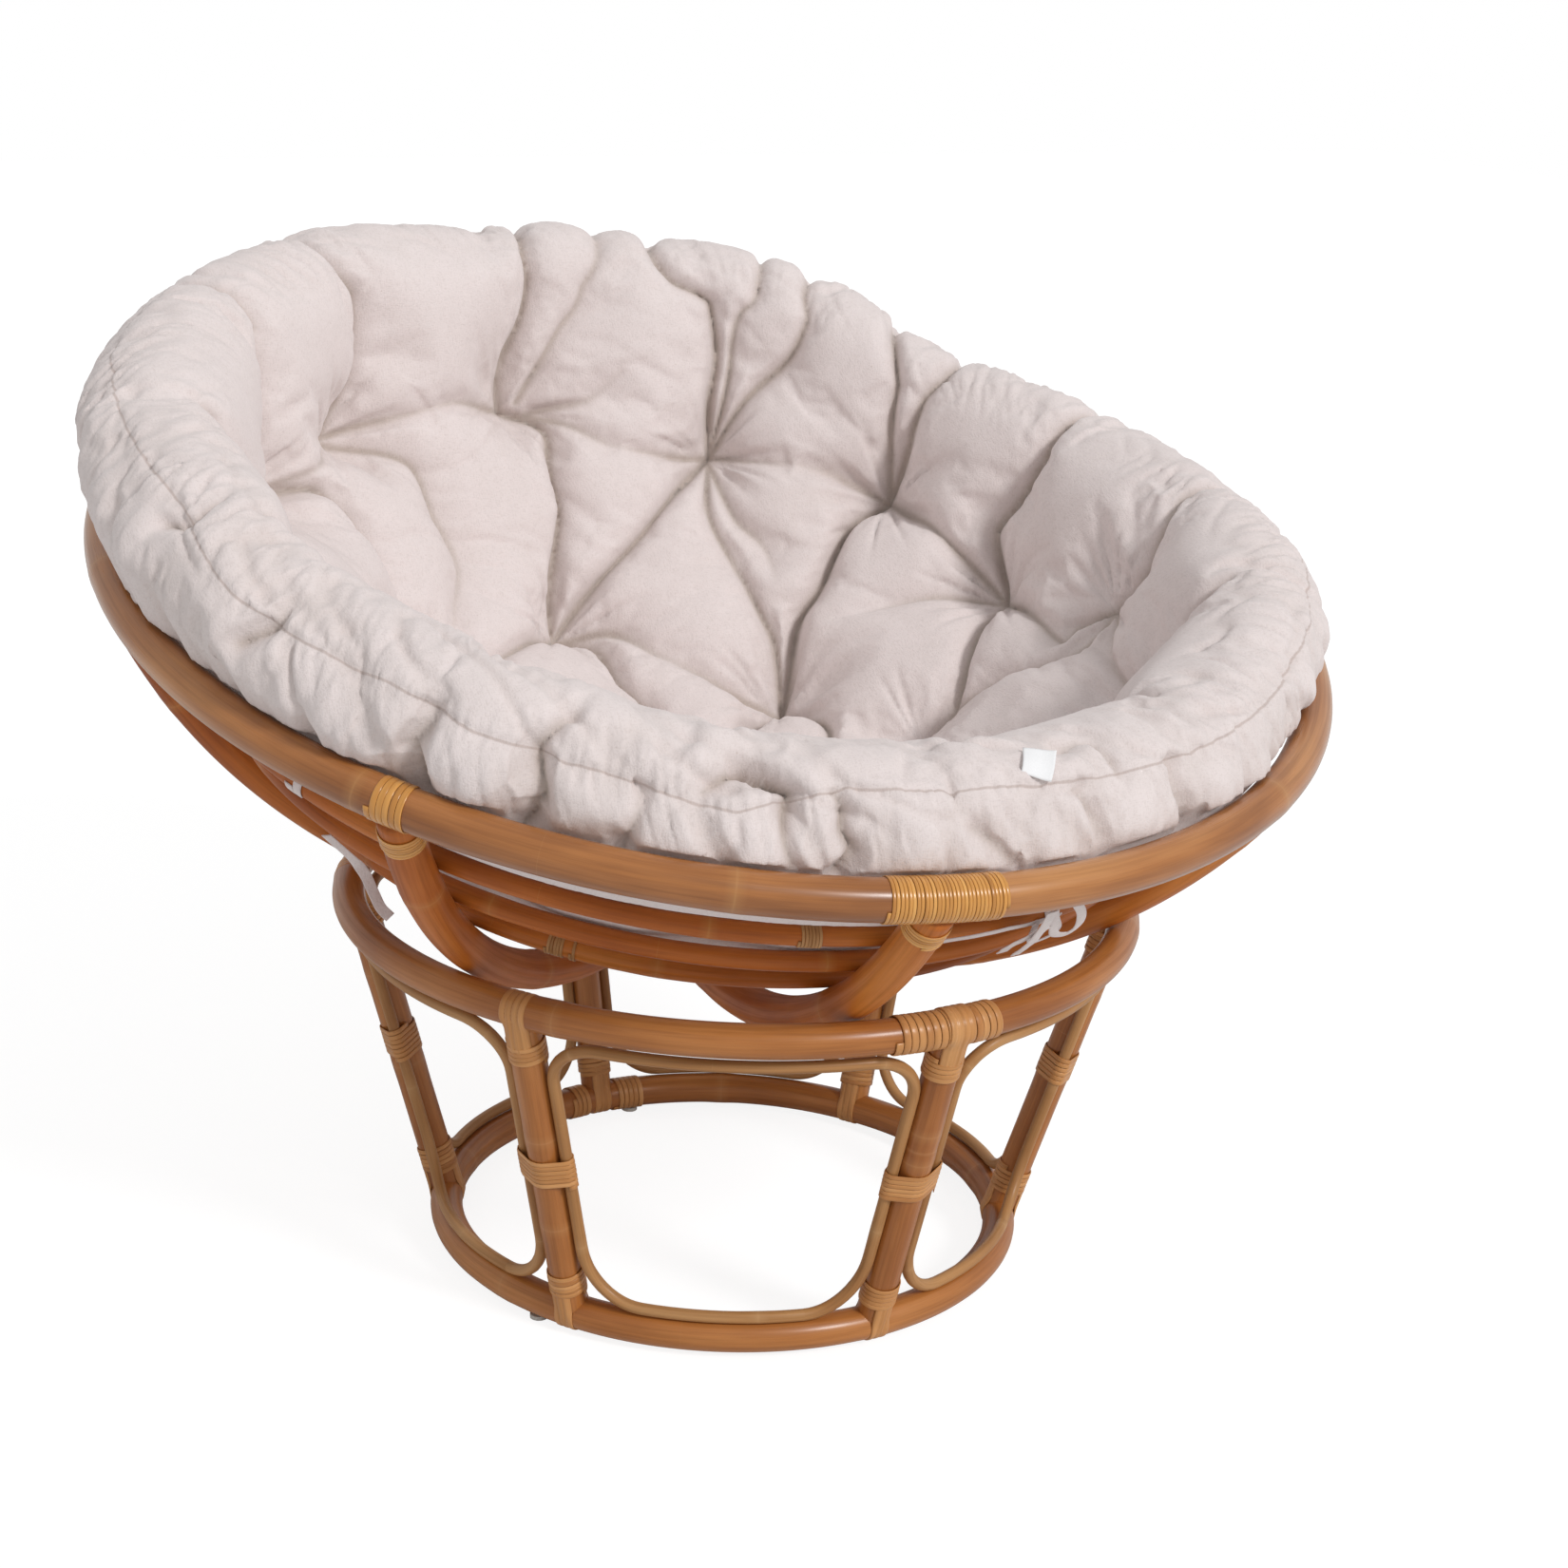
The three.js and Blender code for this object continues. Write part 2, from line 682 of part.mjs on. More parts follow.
function cushionGeometry() {
  const points = [cushionPoint({ face: "outer", rise: 0 }, 0)];
  for (const place of cushionRings) {
    for (let step = 0; step < cushionSteps; step += 1) {
      points.push(cushionPoint(place, cushionTurnAt(step)));
    }
  }
  points.push(cushionPoint({ face: "inner", rise: 0 }, 0));
  const top = points.length - 1;
  const at = (row, step) => 1 + row * cushionSteps + (step % cushionSteps);
  const index = [];
  for (let step = 0; step < cushionSteps; step += 1) {
    index.push(0, at(0, step + 1), at(0, step));
    for (let row = 0; row < cushionRings.length - 1; row += 1) {
      const a = at(row, step);
      const b = at(row, step + 1);
      const c = at(row + 1, step + 1);
      const d = at(row + 1, step);
      index.push(a, b, c, a, c, d);
    }
    const lastRow = cushionRings.length - 1;
    index.push(top, at(lastRow, step), at(lastRow, step + 1));
  }
  const geometry = new THREE.BufferGeometry();
  geometry.setAttribute(
    "position",
    new THREE.Float32BufferAttribute(points.flatMap((point) => point.toArray()), 3),
  );
  geometry.setIndex(index);
  geometry.computeVertexNormals();
  return geometry;
}

// A blank tag that lies flat on one facet of the lip
function buildLabel() {
  const group = new THREE.Group();
  const corner = (row, step) =>
    cushionPoint({ face: "lip", roll: lipRollShares[row] }, cushionTurnAt(step));
  const edgeMiddle = (step) =>
    corner(labelRow, step).lerp(corner(labelRow + 1, step), 1 / 2);
  const skin = edgeMiddle(labelStep).lerp(edgeMiddle(labelStep + 1), labelStepShare);
  const sideways = edgeMiddle(labelStep + 1).sub(edgeMiddle(labelStep)).normalize();
  const inward = corner(labelRow + 1, labelStep).sub(corner(labelRow, labelStep));
  const outward = sideways.clone().cross(inward).normalize();
  const upward = outward.clone().cross(sideways);
  const plate = new THREE.BoxGeometry(labelThickness, labelWidth, labelLength);
  group.matrixAutoUpdate = false;
  group.matrix
    .makeBasis(outward, sideways, upward)
    .setPosition(skin.addScaledVector(outward, touchGap + labelThickness / 2));
  group.add(mesh("cushion_label", plate, materials.label));
  return group;
}

// A cloth tie: a band hooked round the upper hoop with its tail down the outside of the hoops
function tieGeometry() {
  const place = spherePoint(hoopSphereRadius, hoopRises.upper);
  const hoopBend = (tieWidth / 2) * Math.tan(Math.PI / hoopSteps);
  const inner = (hoopPoleRadius + hoopBend + touchGap) / Math.cos(Math.PI / thickSides);
  const outer = inner + tieThickness;
  const bandProfile = [
    [inner, -tieWidth / 2],
    [outer, -tieWidth / 2],
    [outer, tieWidth / 2],
    [inner, tieWidth / 2],
    [inner, -tieWidth / 2],
  ].map(([radius, height]) => new THREE.Vector2(radius, height));
  const band = new THREE.LatheGeometry(bandProfile, thickSides).translate(place.x, 0, place.z);
  const tailFace = hoopSphereRadius + hoopPoleRadius + touchGap;
  const tailLength = tailFace * radians(hoopRises.upper - tieFootRise);
  const tail = new THREE.BoxGeometry(tieThickness, tieWidth, tailLength)
    .translate(tailFace + tieThickness / 2, 0, 0)
    .rotateY(radians(90 - (hoopRises.upper + tieFootRise) / 2));
  const cushionSpace = new THREE.SphereGeometry(hoopSphereRadius, hoopSteps, hoopSteps);
  return geometryOf(solidOf(band).add(solidOf(tail)).subtract(solidOf(cushionSpace)));
}

function buildBowl() {
  const bowl = new THREE.Group();
  bowl.position.z = tiltCentreHeight;
  bowl.rotation.x = radians(restTilt);
  bowl.add(buildBowlFrame());
  bowl.add(mesh("cushion", cushionGeometry(), materials.cushion));
  bowl.add(buildLabel());
  return bowl;
}

const chair = new THREE.Group();
chair.add(buildStand(), buildBowl());

// The origin goes to the middle of the whole chair's footprint
chair.updateMatrixWorld(true);
const middle = new THREE.Box3().setFromObject(chair, true).getCenter(new THREE.Vector3());
chair.position.set(-middle.x, -middle.y, 0);

for (const [kind, gap] of windingGaps) {
  console.log(`${kind} winding: least gap to itself ${gap.toFixed(2)} mm`);
}

export default chair;
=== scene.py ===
"""A papasan chair: a tufted cushion in a dished cane bowl that rests on a flared cane stand."""

import math
import random

import bmesh
import bpy
import numpy as np
from mathutils import Matrix, Vector, noise
from mathutils.bvhtree import BVHTree


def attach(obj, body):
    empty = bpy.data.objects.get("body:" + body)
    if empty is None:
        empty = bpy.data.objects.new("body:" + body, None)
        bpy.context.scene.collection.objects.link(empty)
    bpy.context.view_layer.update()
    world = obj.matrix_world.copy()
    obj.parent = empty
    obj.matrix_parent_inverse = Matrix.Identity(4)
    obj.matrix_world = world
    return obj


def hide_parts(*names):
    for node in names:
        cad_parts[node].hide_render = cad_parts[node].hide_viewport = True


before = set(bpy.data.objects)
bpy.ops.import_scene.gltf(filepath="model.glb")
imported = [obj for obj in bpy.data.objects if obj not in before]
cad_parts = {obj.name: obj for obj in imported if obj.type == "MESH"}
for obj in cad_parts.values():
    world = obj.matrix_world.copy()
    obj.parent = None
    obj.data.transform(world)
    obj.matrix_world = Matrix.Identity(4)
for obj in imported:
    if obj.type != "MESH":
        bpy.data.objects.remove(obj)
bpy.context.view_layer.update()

# Sizes in metres and turns in degrees, as the frame has them
CAMERA_PLACE = (-1.2427, -2.1343, 1.2071)
CAMERA_HEADING, CAMERA_PITCH, CAMERA_ROLL = 31.72, -17.75, 2.9
CAMERA_LENS = 65.31
SENSOR_WIDTH = 36
SUN_FROM = Vector((0.24, -0.79, 0.60))
SUN_SPREAD = 12
SUN_STRENGTH = 1.62
SKY_STRENGTH = 0.57

STAND_AXIS = Vector((0, -0.05314, 0))
STAND_POLE = 0.015
TOP_RING_RADIUS = 0.348
TOP_RING_HEIGHT = 0.328
BOTTOM_RING_RADIUS = 0.258
BOTTOM_RING_HEIGHT = 0.0189
POST_TURNS = [30 + 60 * i for i in range(6)]
LASHED_POST = 5
POST_END_INSET = 0.004
LOOP_POLE = 0.0053
LOOP_STEP = 0.012
POST_TO_LOOP = 0.0003
LOOP_HEADROOM = 0.0208
LOOP_TOP_BEND = 0.042
LOOP_BOTTOM_BEND = 0.056

TILT_CENTRE = STAND_AXIS + Vector((0, 0, 0.83621))
REST_TILT = 13.3
RIM_RADIUS = 0.535
RIM_DROP = 0.232
RIM_POLE = 0.017
RIB_POLE = 0.0175
RIB_TURN = -10.5
BOWL_RADIUS = math.hypot(RIM_RADIUS, RIM_DROP)
RIM_RISE = math.degrees(math.atan2(RIM_RADIUS, RIM_DROP))
HOOP_POLE = 0.0085
HOOP_SPHERE = 0.5559
HOOP_RISES = {"upper_hoop": 55.5, "middle_hoop": 49, "lower_hoop": 42}
BOTTOM_HOOP_RADIUS = 0.130
RIB_FOOT_INSET = 0.048
SPLICED_RIB = 6
RIBS_WITHOUT_BINDING = (4, 7)
# The rim's growth nodes show at the left and at the front right
RIM_KNOT_TURNS = (40, 75, 118, 158, 204, 226.5, 270.5, 312, 343)
# Where wraps lie on the bottom ring and on the hoops, and how many turns they have
BOTTOM_RING_WRAPS = [(95.6, 3.6), (83.1, 5.4)]
HOOP_SPLICES = [("upper_hoop", 262.2, 6.4), ("lower_hoop", 235.4, 5.4), ("lower_hoop", 237.8, 1.4)]
# Tapes of the ties: width and the places (turn, rise, reach) that each runs through
FRONT_TIE = [
    (0.0070, [
        (263.2, 57.0, 0.5715), (267.7, 57.8, 0.572), (270.7, 58.1, 0.572), (273.4, 58.3, 0.572),
        (276.5, 58.8, 0.572),
    ]),
    (0.0085, [
        (275.0, 62.6, 0.579), (277.4, 60.2, 0.58), (279.4, 57.4, 0.5805), (279.2, 55.9, 0.5805),
        (277.4, 56.3, 0.579), (275.6, 58.4, 0.578), (273.6, 61.3, 0.577),
    ]),
    (0.0060, [
        (273.0, 62.0, 0.575), (275.6, 59.0, 0.576), (277.7, 56.6, 0.5765), (277.9, 55.0, 0.5765),
        (276.2, 54.6, 0.5765), (274.8, 56.0, 0.576), (273.4, 58.8, 0.575),
    ]),
    (0.0095, [(272.0, 62.8, 0.584), (272.8, 60.0, 0.584), (273.7, 56.9, 0.583), (274.4, 53.8, 0.581)]),
    (0.0110, [(274.2, 59.2, 0.5805), (273.2, 57.6, 0.58), (272.3, 55.9, 0.579), (272.6, 54.2, 0.5775)]),
]
LEFT_TIE_WIDTH = 0.0095
LEFT_TIE_SIDE = Vector((0.85, -0.51, -0.12))
LEFT_TIE = [
    (195.4, 48.0, 0.5665), (196.0, 44.0, 0.567), (197.4, 42.7, 0.571),
    (199.2, 42.0, 0.579), (201.0, 41.5, 0.5865), (202.4, 41.0, 0.589),
]

STRIP_WIDTH = 0.0061
STRIP_THICKNESS = 0.0012
STRIP_PITCH = 0.0065
# Width and pitch of the narrower windings
POST_STRIP = (0.0043, 0.0045)
RING_STRIP = (0.0052, 0.0055)
RIM_STRIP = (0.0051, 0.0053)
STRAND = (0.0028, 0.0031)
HOOP_STRAND = (0.0025, 0.0027)
TIE_BAND = (0.010, 0.0105)
STRAP_LANE = 0.0061
STRAP_THICKNESS = 0.0011
STRAP_REACH = 0.034
STRAP_OVER_RING = 0.0141
STRAP_OVER_LASHING = 0.0164
LASHING_FROM_RING = 0.0275
TAPE_THICKNESS = 0.0013

CUSHION_SPHERE = 0.5459
CUSHION_THICKNESS = 0.118
LIP_RISE = 0.060
LEAST_LIP_INSET = 0.040
RIM_CLEARANCE = 0.0231
LIP_RISE_SHARES = [0.65, 0.5, 1.2, 1.4, 1.65, 1.7, 1.5, 0.95, 0.55, 0.45, 0.5, 0.85]
UPPER_HOOP_RISE = HOOP_RISES["upper_hoop"]
COVER_VOXEL = 0.0058
RIM_ROOM = 0.0212
UNDER_END = 0.06
WITHIN_RIBS = 0.5645
# The label's middle, its way across and its way up in the bowl's own directions
LABEL_FRAME = ((0.0009, -0.4786, -0.1595), (0.856, -0.449, -0.173), (0.480, 0.779, 0.353))
LABEL_SIZE = (0.0245, 0.0250)

BOWL = Matrix.Translation(TILT_CENTRE) @ Matrix.Rotation(math.radians(REST_TILT), 4, "X")
RIBS = BOWL @ Matrix.Rotation(math.radians(RIB_TURN), 4, "Z")
STAND = Matrix.Translation(STAND_AXIS)


def add_object(name, data):
    added = bpy.data.objects.new(name, data)
    bpy.context.scene.collection.objects.link(added)
    return added


# Camera
def place_camera():
    heading, pitch, roll = (math.radians(a) for a in (CAMERA_HEADING, CAMERA_PITCH, CAMERA_ROLL))
    forward = Vector(
        (math.sin(heading) * math.cos(pitch), math.cos(heading) * math.cos(pitch), math.sin(pitch))
    )
    right = Vector((math.cos(heading), -math.sin(heading), 0))
    up = right.cross(forward)
    side = math.cos(roll) * right + math.sin(roll) * up
    top = math.cos(roll) * up - math.sin(roll) * right
    lens = bpy.data.cameras.new("camera")
    lens.sensor_width = SENSOR_WIDTH
    lens.lens = CAMERA_LENS
    lens.clip_end = 50
    camera = add_object("camera", lens)
    turn = Matrix((side, top, -forward)).transposed().to_4x4()
    camera.matrix_world = Matrix.Translation(CAMERA_PLACE) @ turn
    bpy.context.scene.camera = camera


place_camera()


# Materials
def new_material(name):
    material = bpy.data.materials.new(name)
    material.use_nodes = True
    material.node_tree.nodes.clear()
    return material, material.node_tree


def add_node(tree, kind, inputs=None, **settings):
    node = tree.nodes.new(kind)
    for key, value in settings.items():
        setattr(node, key, value)
    for key, value in (inputs or {}).items():
        if isinstance(value, bpy.types.NodeSocket):
            tree.links.new(value, node.inputs[key])
        else:
            node.inputs[key].default_value = value
    return node


def add_surface(tree, inputs):
    shader = add_node(tree, "ShaderNodeBsdfPrincipled", inputs)
    add_node(tree, "ShaderNodeOutputMaterial", {"Surface": shader.outputs[0]})


def attribute(tree, name, output="Fac"):
    return add_node(tree, "ShaderNodeAttribute", attribute_name=name).outputs[output]


def ramp(tree, factor, stops):
    node = add_node(tree, "ShaderNodeValToRGB", {"Fac": factor})
    elements = node.color_ramp.elements
    while len(elements) < len(stops):
        elements.new(0.5)
    for element, (place, colour) in zip(elements, stops):
        element.position = place
        element.color = (*colour, 1) if len(colour) == 3 else colour
    return node.outputs["Color"]


def mix(tree, factor, first, second, blend="MIX"):
    inputs = {0: factor, 6: first, 7: second}
    return add_node(tree, "ShaderNodeMix", inputs, data_type="RGBA", blend_type=blend).outputs[2]


def maths(tree, operation, *values):
    return add_node(tree, "ShaderNodeMath", dict(enumerate(values)), operation=operation).outputs[0]


def tint(tree, strength, colour, factor, stops):
    return mix(tree, strength, colour, ramp(tree, factor, stops), "MULTIPLY")


def noise_at(tree, vector, scale, stretch=(1, 1, 1), detail=4, roughness=0.5):
    mapped = add_node(tree, "ShaderNodeMapping", {"Vector": vector, "Scale": stretch}).outputs[0]
    inputs = {"Vector": mapped, "Scale": scale, "Detail": detail, "Roughness": roughness}
    return add_node(tree, "ShaderNodeTexNoise", inputs).outputs["Fac"]


def cane_material(name, roughness, coat, dark, middle, light, knot_colour, strength=1.0):
    """Peeled cane: long fibres and streaks along the pole, and a scar line at each growth node."""
    material, tree = new_material(name)
    grain = attribute(tree, "grain", "Vector")
    knot = attribute(tree, "knot")
    streaks = noise_at(tree, grain, 1, (7, 260, 260), 6, 0.6)
    fibres = noise_at(tree, grain, 1, (22, 1500, 1500), 3, 0.6)
    patches = noise_at(tree, grain, 1, (5, 22, 22), 3, 0.5)
    colour = ramp(tree, patches, [(0.3, dark), (0.52, middle), (0.72, light)])
    stops = [(0.32, (0.72, 0.68, 0.62)), (0.55, (1, 1, 1)), (0.75, (1.08, 1.1, 1.12))]
    colour = tint(tree, 0.75 * strength, colour, streaks, stops)
    colour = tint(tree, 0.55 * strength, colour, fibres, [(0.35, (0.86, 0.84, 0.8)), (0.6, (1, 1, 1))])
    off_knot = maths(tree, "MULTIPLY", maths(tree, "ABSOLUTE", knot), 40)
    around_knot = ramp(tree, off_knot, [(0.0, (1, 1, 1)), (0.06, (0.5, 0.5, 0.5)), (0.35, (0, 0, 0))])
    colour = mix(tree, maths(tree, "MULTIPLY", around_knot, 0.5), colour, (*knot_colour, 1))
    height = maths(tree, "ADD", maths(tree, "MULTIPLY", streaks, 0.6), maths(tree, "MULTIPLY", fibres, 0.4))
    bump = add_node(tree, "ShaderNodeBump", {"Height": height, "Strength": 0.22, "Distance": 0.0006})
    inputs = {
        "Base Color": colour,
        "Roughness": ramp(tree, streaks, [(0.3, (roughness + 0.12,) * 3), (0.7, (roughness - 0.05,) * 3)]),
        "Normal": bump.outputs[0],
        "Coat Weight": coat,
        "Coat Roughness": 0.25,
        "Specular IOR Level": 0.24,
    }
    add_surface(tree, inputs)
    return material


def cloth_material():
    """Undyed cotton canvas with a fine plain weave, slubs and a few seed flecks."""
    material, tree = new_material("cotton canvas")
    place = add_node(tree, "ShaderNodeTexCoord").outputs["Object"]
    warp = noise_at(tree, place, 900, (1, 0.25, 0.25), 2)
    weft = noise_at(tree, place, 900, (0.25, 1, 1), 2)
    weave = maths(tree, "ADD", warp, weft)
    slubs = noise_at(tree, place, 60, (1, 1, 1), 5, 0.65)
    soil = noise_at(tree, place, 6, (1, 1, 1), 3)
    flecks = add_node(tree, "ShaderNodeTexVoronoi", {"Vector": place, "Scale": 34}).outputs["Distance"]
    colour = ramp(tree, soil, [(0.35, (0.785, 0.70, 0.685)), (0.65, (0.80, 0.715, 0.70))])
    colour = tint(tree, 0.8, colour, slubs, [(0.3, (0.95, 0.945, 0.94)), (0.7, (1, 1, 1))])
    colour = tint(tree, 0.8, colour, weave, [(0.75, (0.9, 0.89, 0.88)), (1.15, (1, 1, 1))])
    in_fleck = ramp(tree, flecks, [(0.0, (0.5,) * 3), (0.035, (0,) * 3)])
    colour = mix(tree, in_fleck, colour, (0.36, 0.26, 0.19, 1))
    # Painted shade: the folds, wrinkles and crease bottoms are darkened towards a warm brown
    fold_shade = attribute(tree, "fold_shade")
    colour = mix(tree, maths(tree, "MULTIPLY", fold_shade, 0.6), colour, (0.32, 0.245, 0.18, 1))
    # The cover's seam is where its seam attribute is 1
    from_seam = maths(tree, "SUBTRACT", attribute(tree, "seam"), 1)
    off_seam = maths(tree, "MULTIPLY", maths(tree, "ABSOLUTE", from_seam), 200)
    on_seam = ramp(tree, off_seam, [(0.12, (1, 1, 1)), (0.34, (0, 0, 0))])
    colour = mix(tree, maths(tree, "MULTIPLY", on_seam, 0.5), colour, (0.42, 0.32, 0.28, 1))
    height = maths(tree, "ADD", weave, maths(tree, "MULTIPLY", slubs, 0.4))
    bump = add_node(tree, "ShaderNodeBump", {"Height": height, "Strength": 0.5, "Distance": 0.0008})
    inputs = {
        "Base Color": colour,
        "Roughness": 0.93,
        "Sheen Weight": 0.25,
        "Sheen Roughness": 0.6,
        "Specular IOR Level": 0.25,
        "Normal": bump.outputs[0],
    }
    add_surface(tree, inputs)
    return material


def plain_material(name, colour, roughness, metallic=0.0, bump_scale=400):
    material, tree = new_material(name)
    place = add_node(tree, "ShaderNodeTexCoord").outputs["Object"]
    grain = noise_at(tree, place, bump_scale, detail=3)
    darker = ramp(tree, grain, [(0.3, tuple(c * 0.8 for c in colour)), (0.7, colour)])
    tinted = mix(tree, 0.35, (*colour, 1), darker)
    bump = add_node(tree, "ShaderNodeBump", {"Height": grain, "Strength": 0.15, "Distance": 0.0004})
    inputs = {"Base Color": tinted, "Roughness": roughness, "Metallic": metallic, "Normal": bump.outputs[0]}
    add_surface(tree, inputs)
    return material


rim_cane = cane_material(
    "varnished rim cane", 0.3, 0.8,
    (0.26, 0.085, 0.018), (0.43, 0.165, 0.044), (0.56, 0.25, 0.082), (0.52, 0.26, 0.09),
)
rib_cane = cane_material(
    "varnished rib cane", 0.42, 0.15,
    (0.335, 0.076, 0.008), (0.505, 0.14, 0.018), (0.62, 0.21, 0.036), (0.56, 0.25, 0.07),
)
stand_cane = cane_material(
    "stand cane", 0.36, 0.45,
    (0.31, 0.098, 0.021), (0.44, 0.162, 0.039), (0.55, 0.228, 0.065), (0.51, 0.24, 0.085),
)
loop_cane = cane_material(
    "loop cane", 0.42, 0.15,
    (0.36, 0.16, 0.052), (0.48, 0.245, 0.093), (0.57, 0.32, 0.14), (0.56, 0.33, 0.15),
)
strip_cane = cane_material(
    "binding strip", 0.4, 0.3,
    (0.46, 0.188, 0.055), (0.61, 0.29, 0.1), (0.73, 0.385, 0.155), (0.6, 0.32, 0.12), 0.9,
)
gold_strip = cane_material(
    "varnished binding strip", 0.25, 0.7,
    (0.47, 0.19, 0.036), (0.71, 0.335, 0.078), (0.90, 0.51, 0.16), (0.7, 0.36, 0.1), 0.9,
)
canvas = cloth_material()
glide_plastic = plain_material("glide plastic", (0.62, 0.6, 0.56), 0.5)
screw_steel = plain_material("screw steel", (0.55, 0.55, 0.55), 0.35, 1.0)
label_cloth = plain_material("label cloth", (0.93, 0.93, 0.94), 0.85, bump_scale=1500)


# Making pieces
def add_piece(name, bm, material, body, slot, *replaced):
    bm.normal_update()
    mesh = bpy.data.meshes.new(name)
    bm.to_mesh(mesh)
    bm.free()
    mesh.materials.append(material)
    mesh.polygons.foreach_set("use_smooth", [True] * len(mesh.polygons))
    piece = add_object(name, mesh)
    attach(piece, body)
    if replaced:
        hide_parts(*replaced)
    return piece


def rolled_grid(sides, steps, closed, shape):
    """A grid rolled up into a tube: shape(length share, turn) gives each point, with its grain."""
    bm = bmesh.new()
    bmesh.ops.create_grid(bm, x_segments=sides, y_segments=steps, size=0.5)
    grain = bm.verts.layers.float_vector.new("grain")
    knot = bm.verts.layers.float.new("knot")
    for vert in bm.verts:
        turn = (vert.co.x + 0.5) * 2 * math.pi
        vert.co, vert[grain], vert[knot] = shape(vert.co.y + 0.5, turn)
    bmesh.ops.remove_doubles(bm, verts=bm.verts, dist=1e-6)
    if not closed:
        bmesh.ops.holes_fill(bm, edges=[e for e in bm.edges if e.is_boundary])
    bmesh.ops.recalc_face_normals(bm, faces=bm.faces)
    return bm


def knot_places(length, spacing, first):
    return [first + i * spacing for i in range(int((length - first) / spacing) + 1)]


def cane_pole(path, length, radius, sides, steps, knots, seed, closed=False):
    """A bent cane pole. path(share) gives the frame whose Z runs along the pole."""

    def shape(share, turn):
        along = share * length
        # A growth node is a low swelling with a fine groove round its middle
        nearest = min((along - k for k in knots), key=abs)
        swell = 1 + 0.035 * math.exp(-((nearest / 0.011) ** 2)) - 0.02 * math.exp(-((nearest / 0.0025) ** 2))
        place = Vector((along * 9, math.cos(turn) * 0.4, seed + math.sin(turn) * 0.4))
        uneven = 1 + 0.012 * noise.noise(place)
        reach = radius * swell * uneven
        across = Vector((math.cos(turn) * reach, math.sin(turn) * reach, 0))
        return path(share) @ across, Vector((along + seed, across.x, across.y)), nearest

    return rolled_grid(sides, steps, closed, shape)


def frame_at(point, along, side):
    """A matrix with Z along the pole and X as close to side as it can be."""
    z = along.normalized()
    y = z.cross(side).normalized()
    x = y.cross(z)
    turn = Matrix((x, y, z)).transposed().to_4x4()
    return Matrix.Translation(point) @ turn


def ring_frame(radius, height, turn):
    out = Vector((math.cos(turn), math.sin(turn), 0))
    return frame_at(out * radius + Vector((0, 0, height)), Vector((-out.y, out.x, 0)), out)


def ring_path(radius, height, start):
    return lambda share: ring_frame(radius, height, math.radians(start) + share * 2 * math.pi)


def ring_spine(radius, height, turn=0.0):
    return lambda along: ring_frame(radius, height, math.radians(turn) + along / radius)


def sphere_point(distance, rise):
    return Vector((distance * math.sin(math.radians(rise)), 0, -distance * math.cos(math.radians(rise))))


def arc_frame(rise, direction=1):
    """On a rib's middle line, with Z up the rib or, with direction -1, down it."""
    along = Vector((math.cos(math.radians(rise)), 0, math.sin(math.radians(rise))))
    return frame_at(sphere_point(BOWL_RADIUS, rise), along * direction, Vector((0, 1, 0)))


def arc_path(low, high):
    return lambda share: arc_frame(low + (high - low) * share)


def rib_spine(rise):
    return lambda along: arc_frame(rise - math.degrees(along / BOWL_RADIUS), -1)


def placed(matrix, bm):
    bmesh.ops.transform(bm, matrix=matrix, verts=bm.verts)
    return bm


def turned(matrix, degrees):
    return matrix @ Matrix.Rotation(math.radians(degrees), 4, "Z")


# Stand
POST_FOOT = Vector((BOTTOM_RING_RADIUS, 0, BOTTOM_RING_HEIGHT))
POST_HEAD = Vector((TOP_RING_RADIUS, 0, TOP_RING_HEIGHT))
POST_LINE = POST_HEAD - POST_FOOT
POST_SLANT = POST_LINE.length
POST_UP = POST_LINE.normalized()


def post_frame(slant):
    return frame_at(POST_FOOT + POST_UP * slant, POST_UP, Vector((0, 1, 0)))


def stand_radius_at(slant):
    return BOTTOM_RING_RADIUS + (TOP_RING_RADIUS - BOTTOM_RING_RADIUS) * slant / POST_SLANT


def loop_points():
    """The rounded frame of a bay, drawn flat and bent onto the cone between the rings."""
    side_offset = STAND_POLE + POST_TO_LOOP + LOOP_POLE
    low = side_offset
    high = POST_SLANT - LOOP_HEADROOM - POST_TO_LOOP - LOOP_POLE
    middle = (low + high) / 2
    side_turn = lambda slant: math.pi / 6 - math.asin(side_offset / stand_radius_at(slant))
    half = stand_radius_at(middle) * side_turn(middle)
    corners = [
        (half - LOOP_BOTTOM_BEND, low + LOOP_BOTTOM_BEND, LOOP_BOTTOM_BEND, -90),
        (half - LOOP_TOP_BEND, high - LOOP_TOP_BEND, LOOP_TOP_BEND, 0),
        (-half + LOOP_TOP_BEND, high - LOOP_TOP_BEND, LOOP_TOP_BEND, 90),
        (-half + LOOP_BOTTOM_BEND, low + LOOP_BOTTOM_BEND, LOOP_BOTTOM_BEND, 180),
    ]
    outline = []
    for x, y, bend, start in corners:
        for i in range(13):
            turn = math.radians(start + 90 * i / 12)
            outline.append(Vector((x + bend * math.cos(turn), y + bend * math.sin(turn))))
    flat = []
    for i, point in enumerate(outline):
        following = outline[(i + 1) % len(outline)]
        pieces = max(1, round((following - point).length / LOOP_STEP))
        flat += [point.lerp(following, j / pieces) for j in range(pieces)]
    return [Matrix.Rotation(x / half * side_turn(y), 3, "Z") @ (POST_FOOT + POST_UP * y) for x, y in flat]


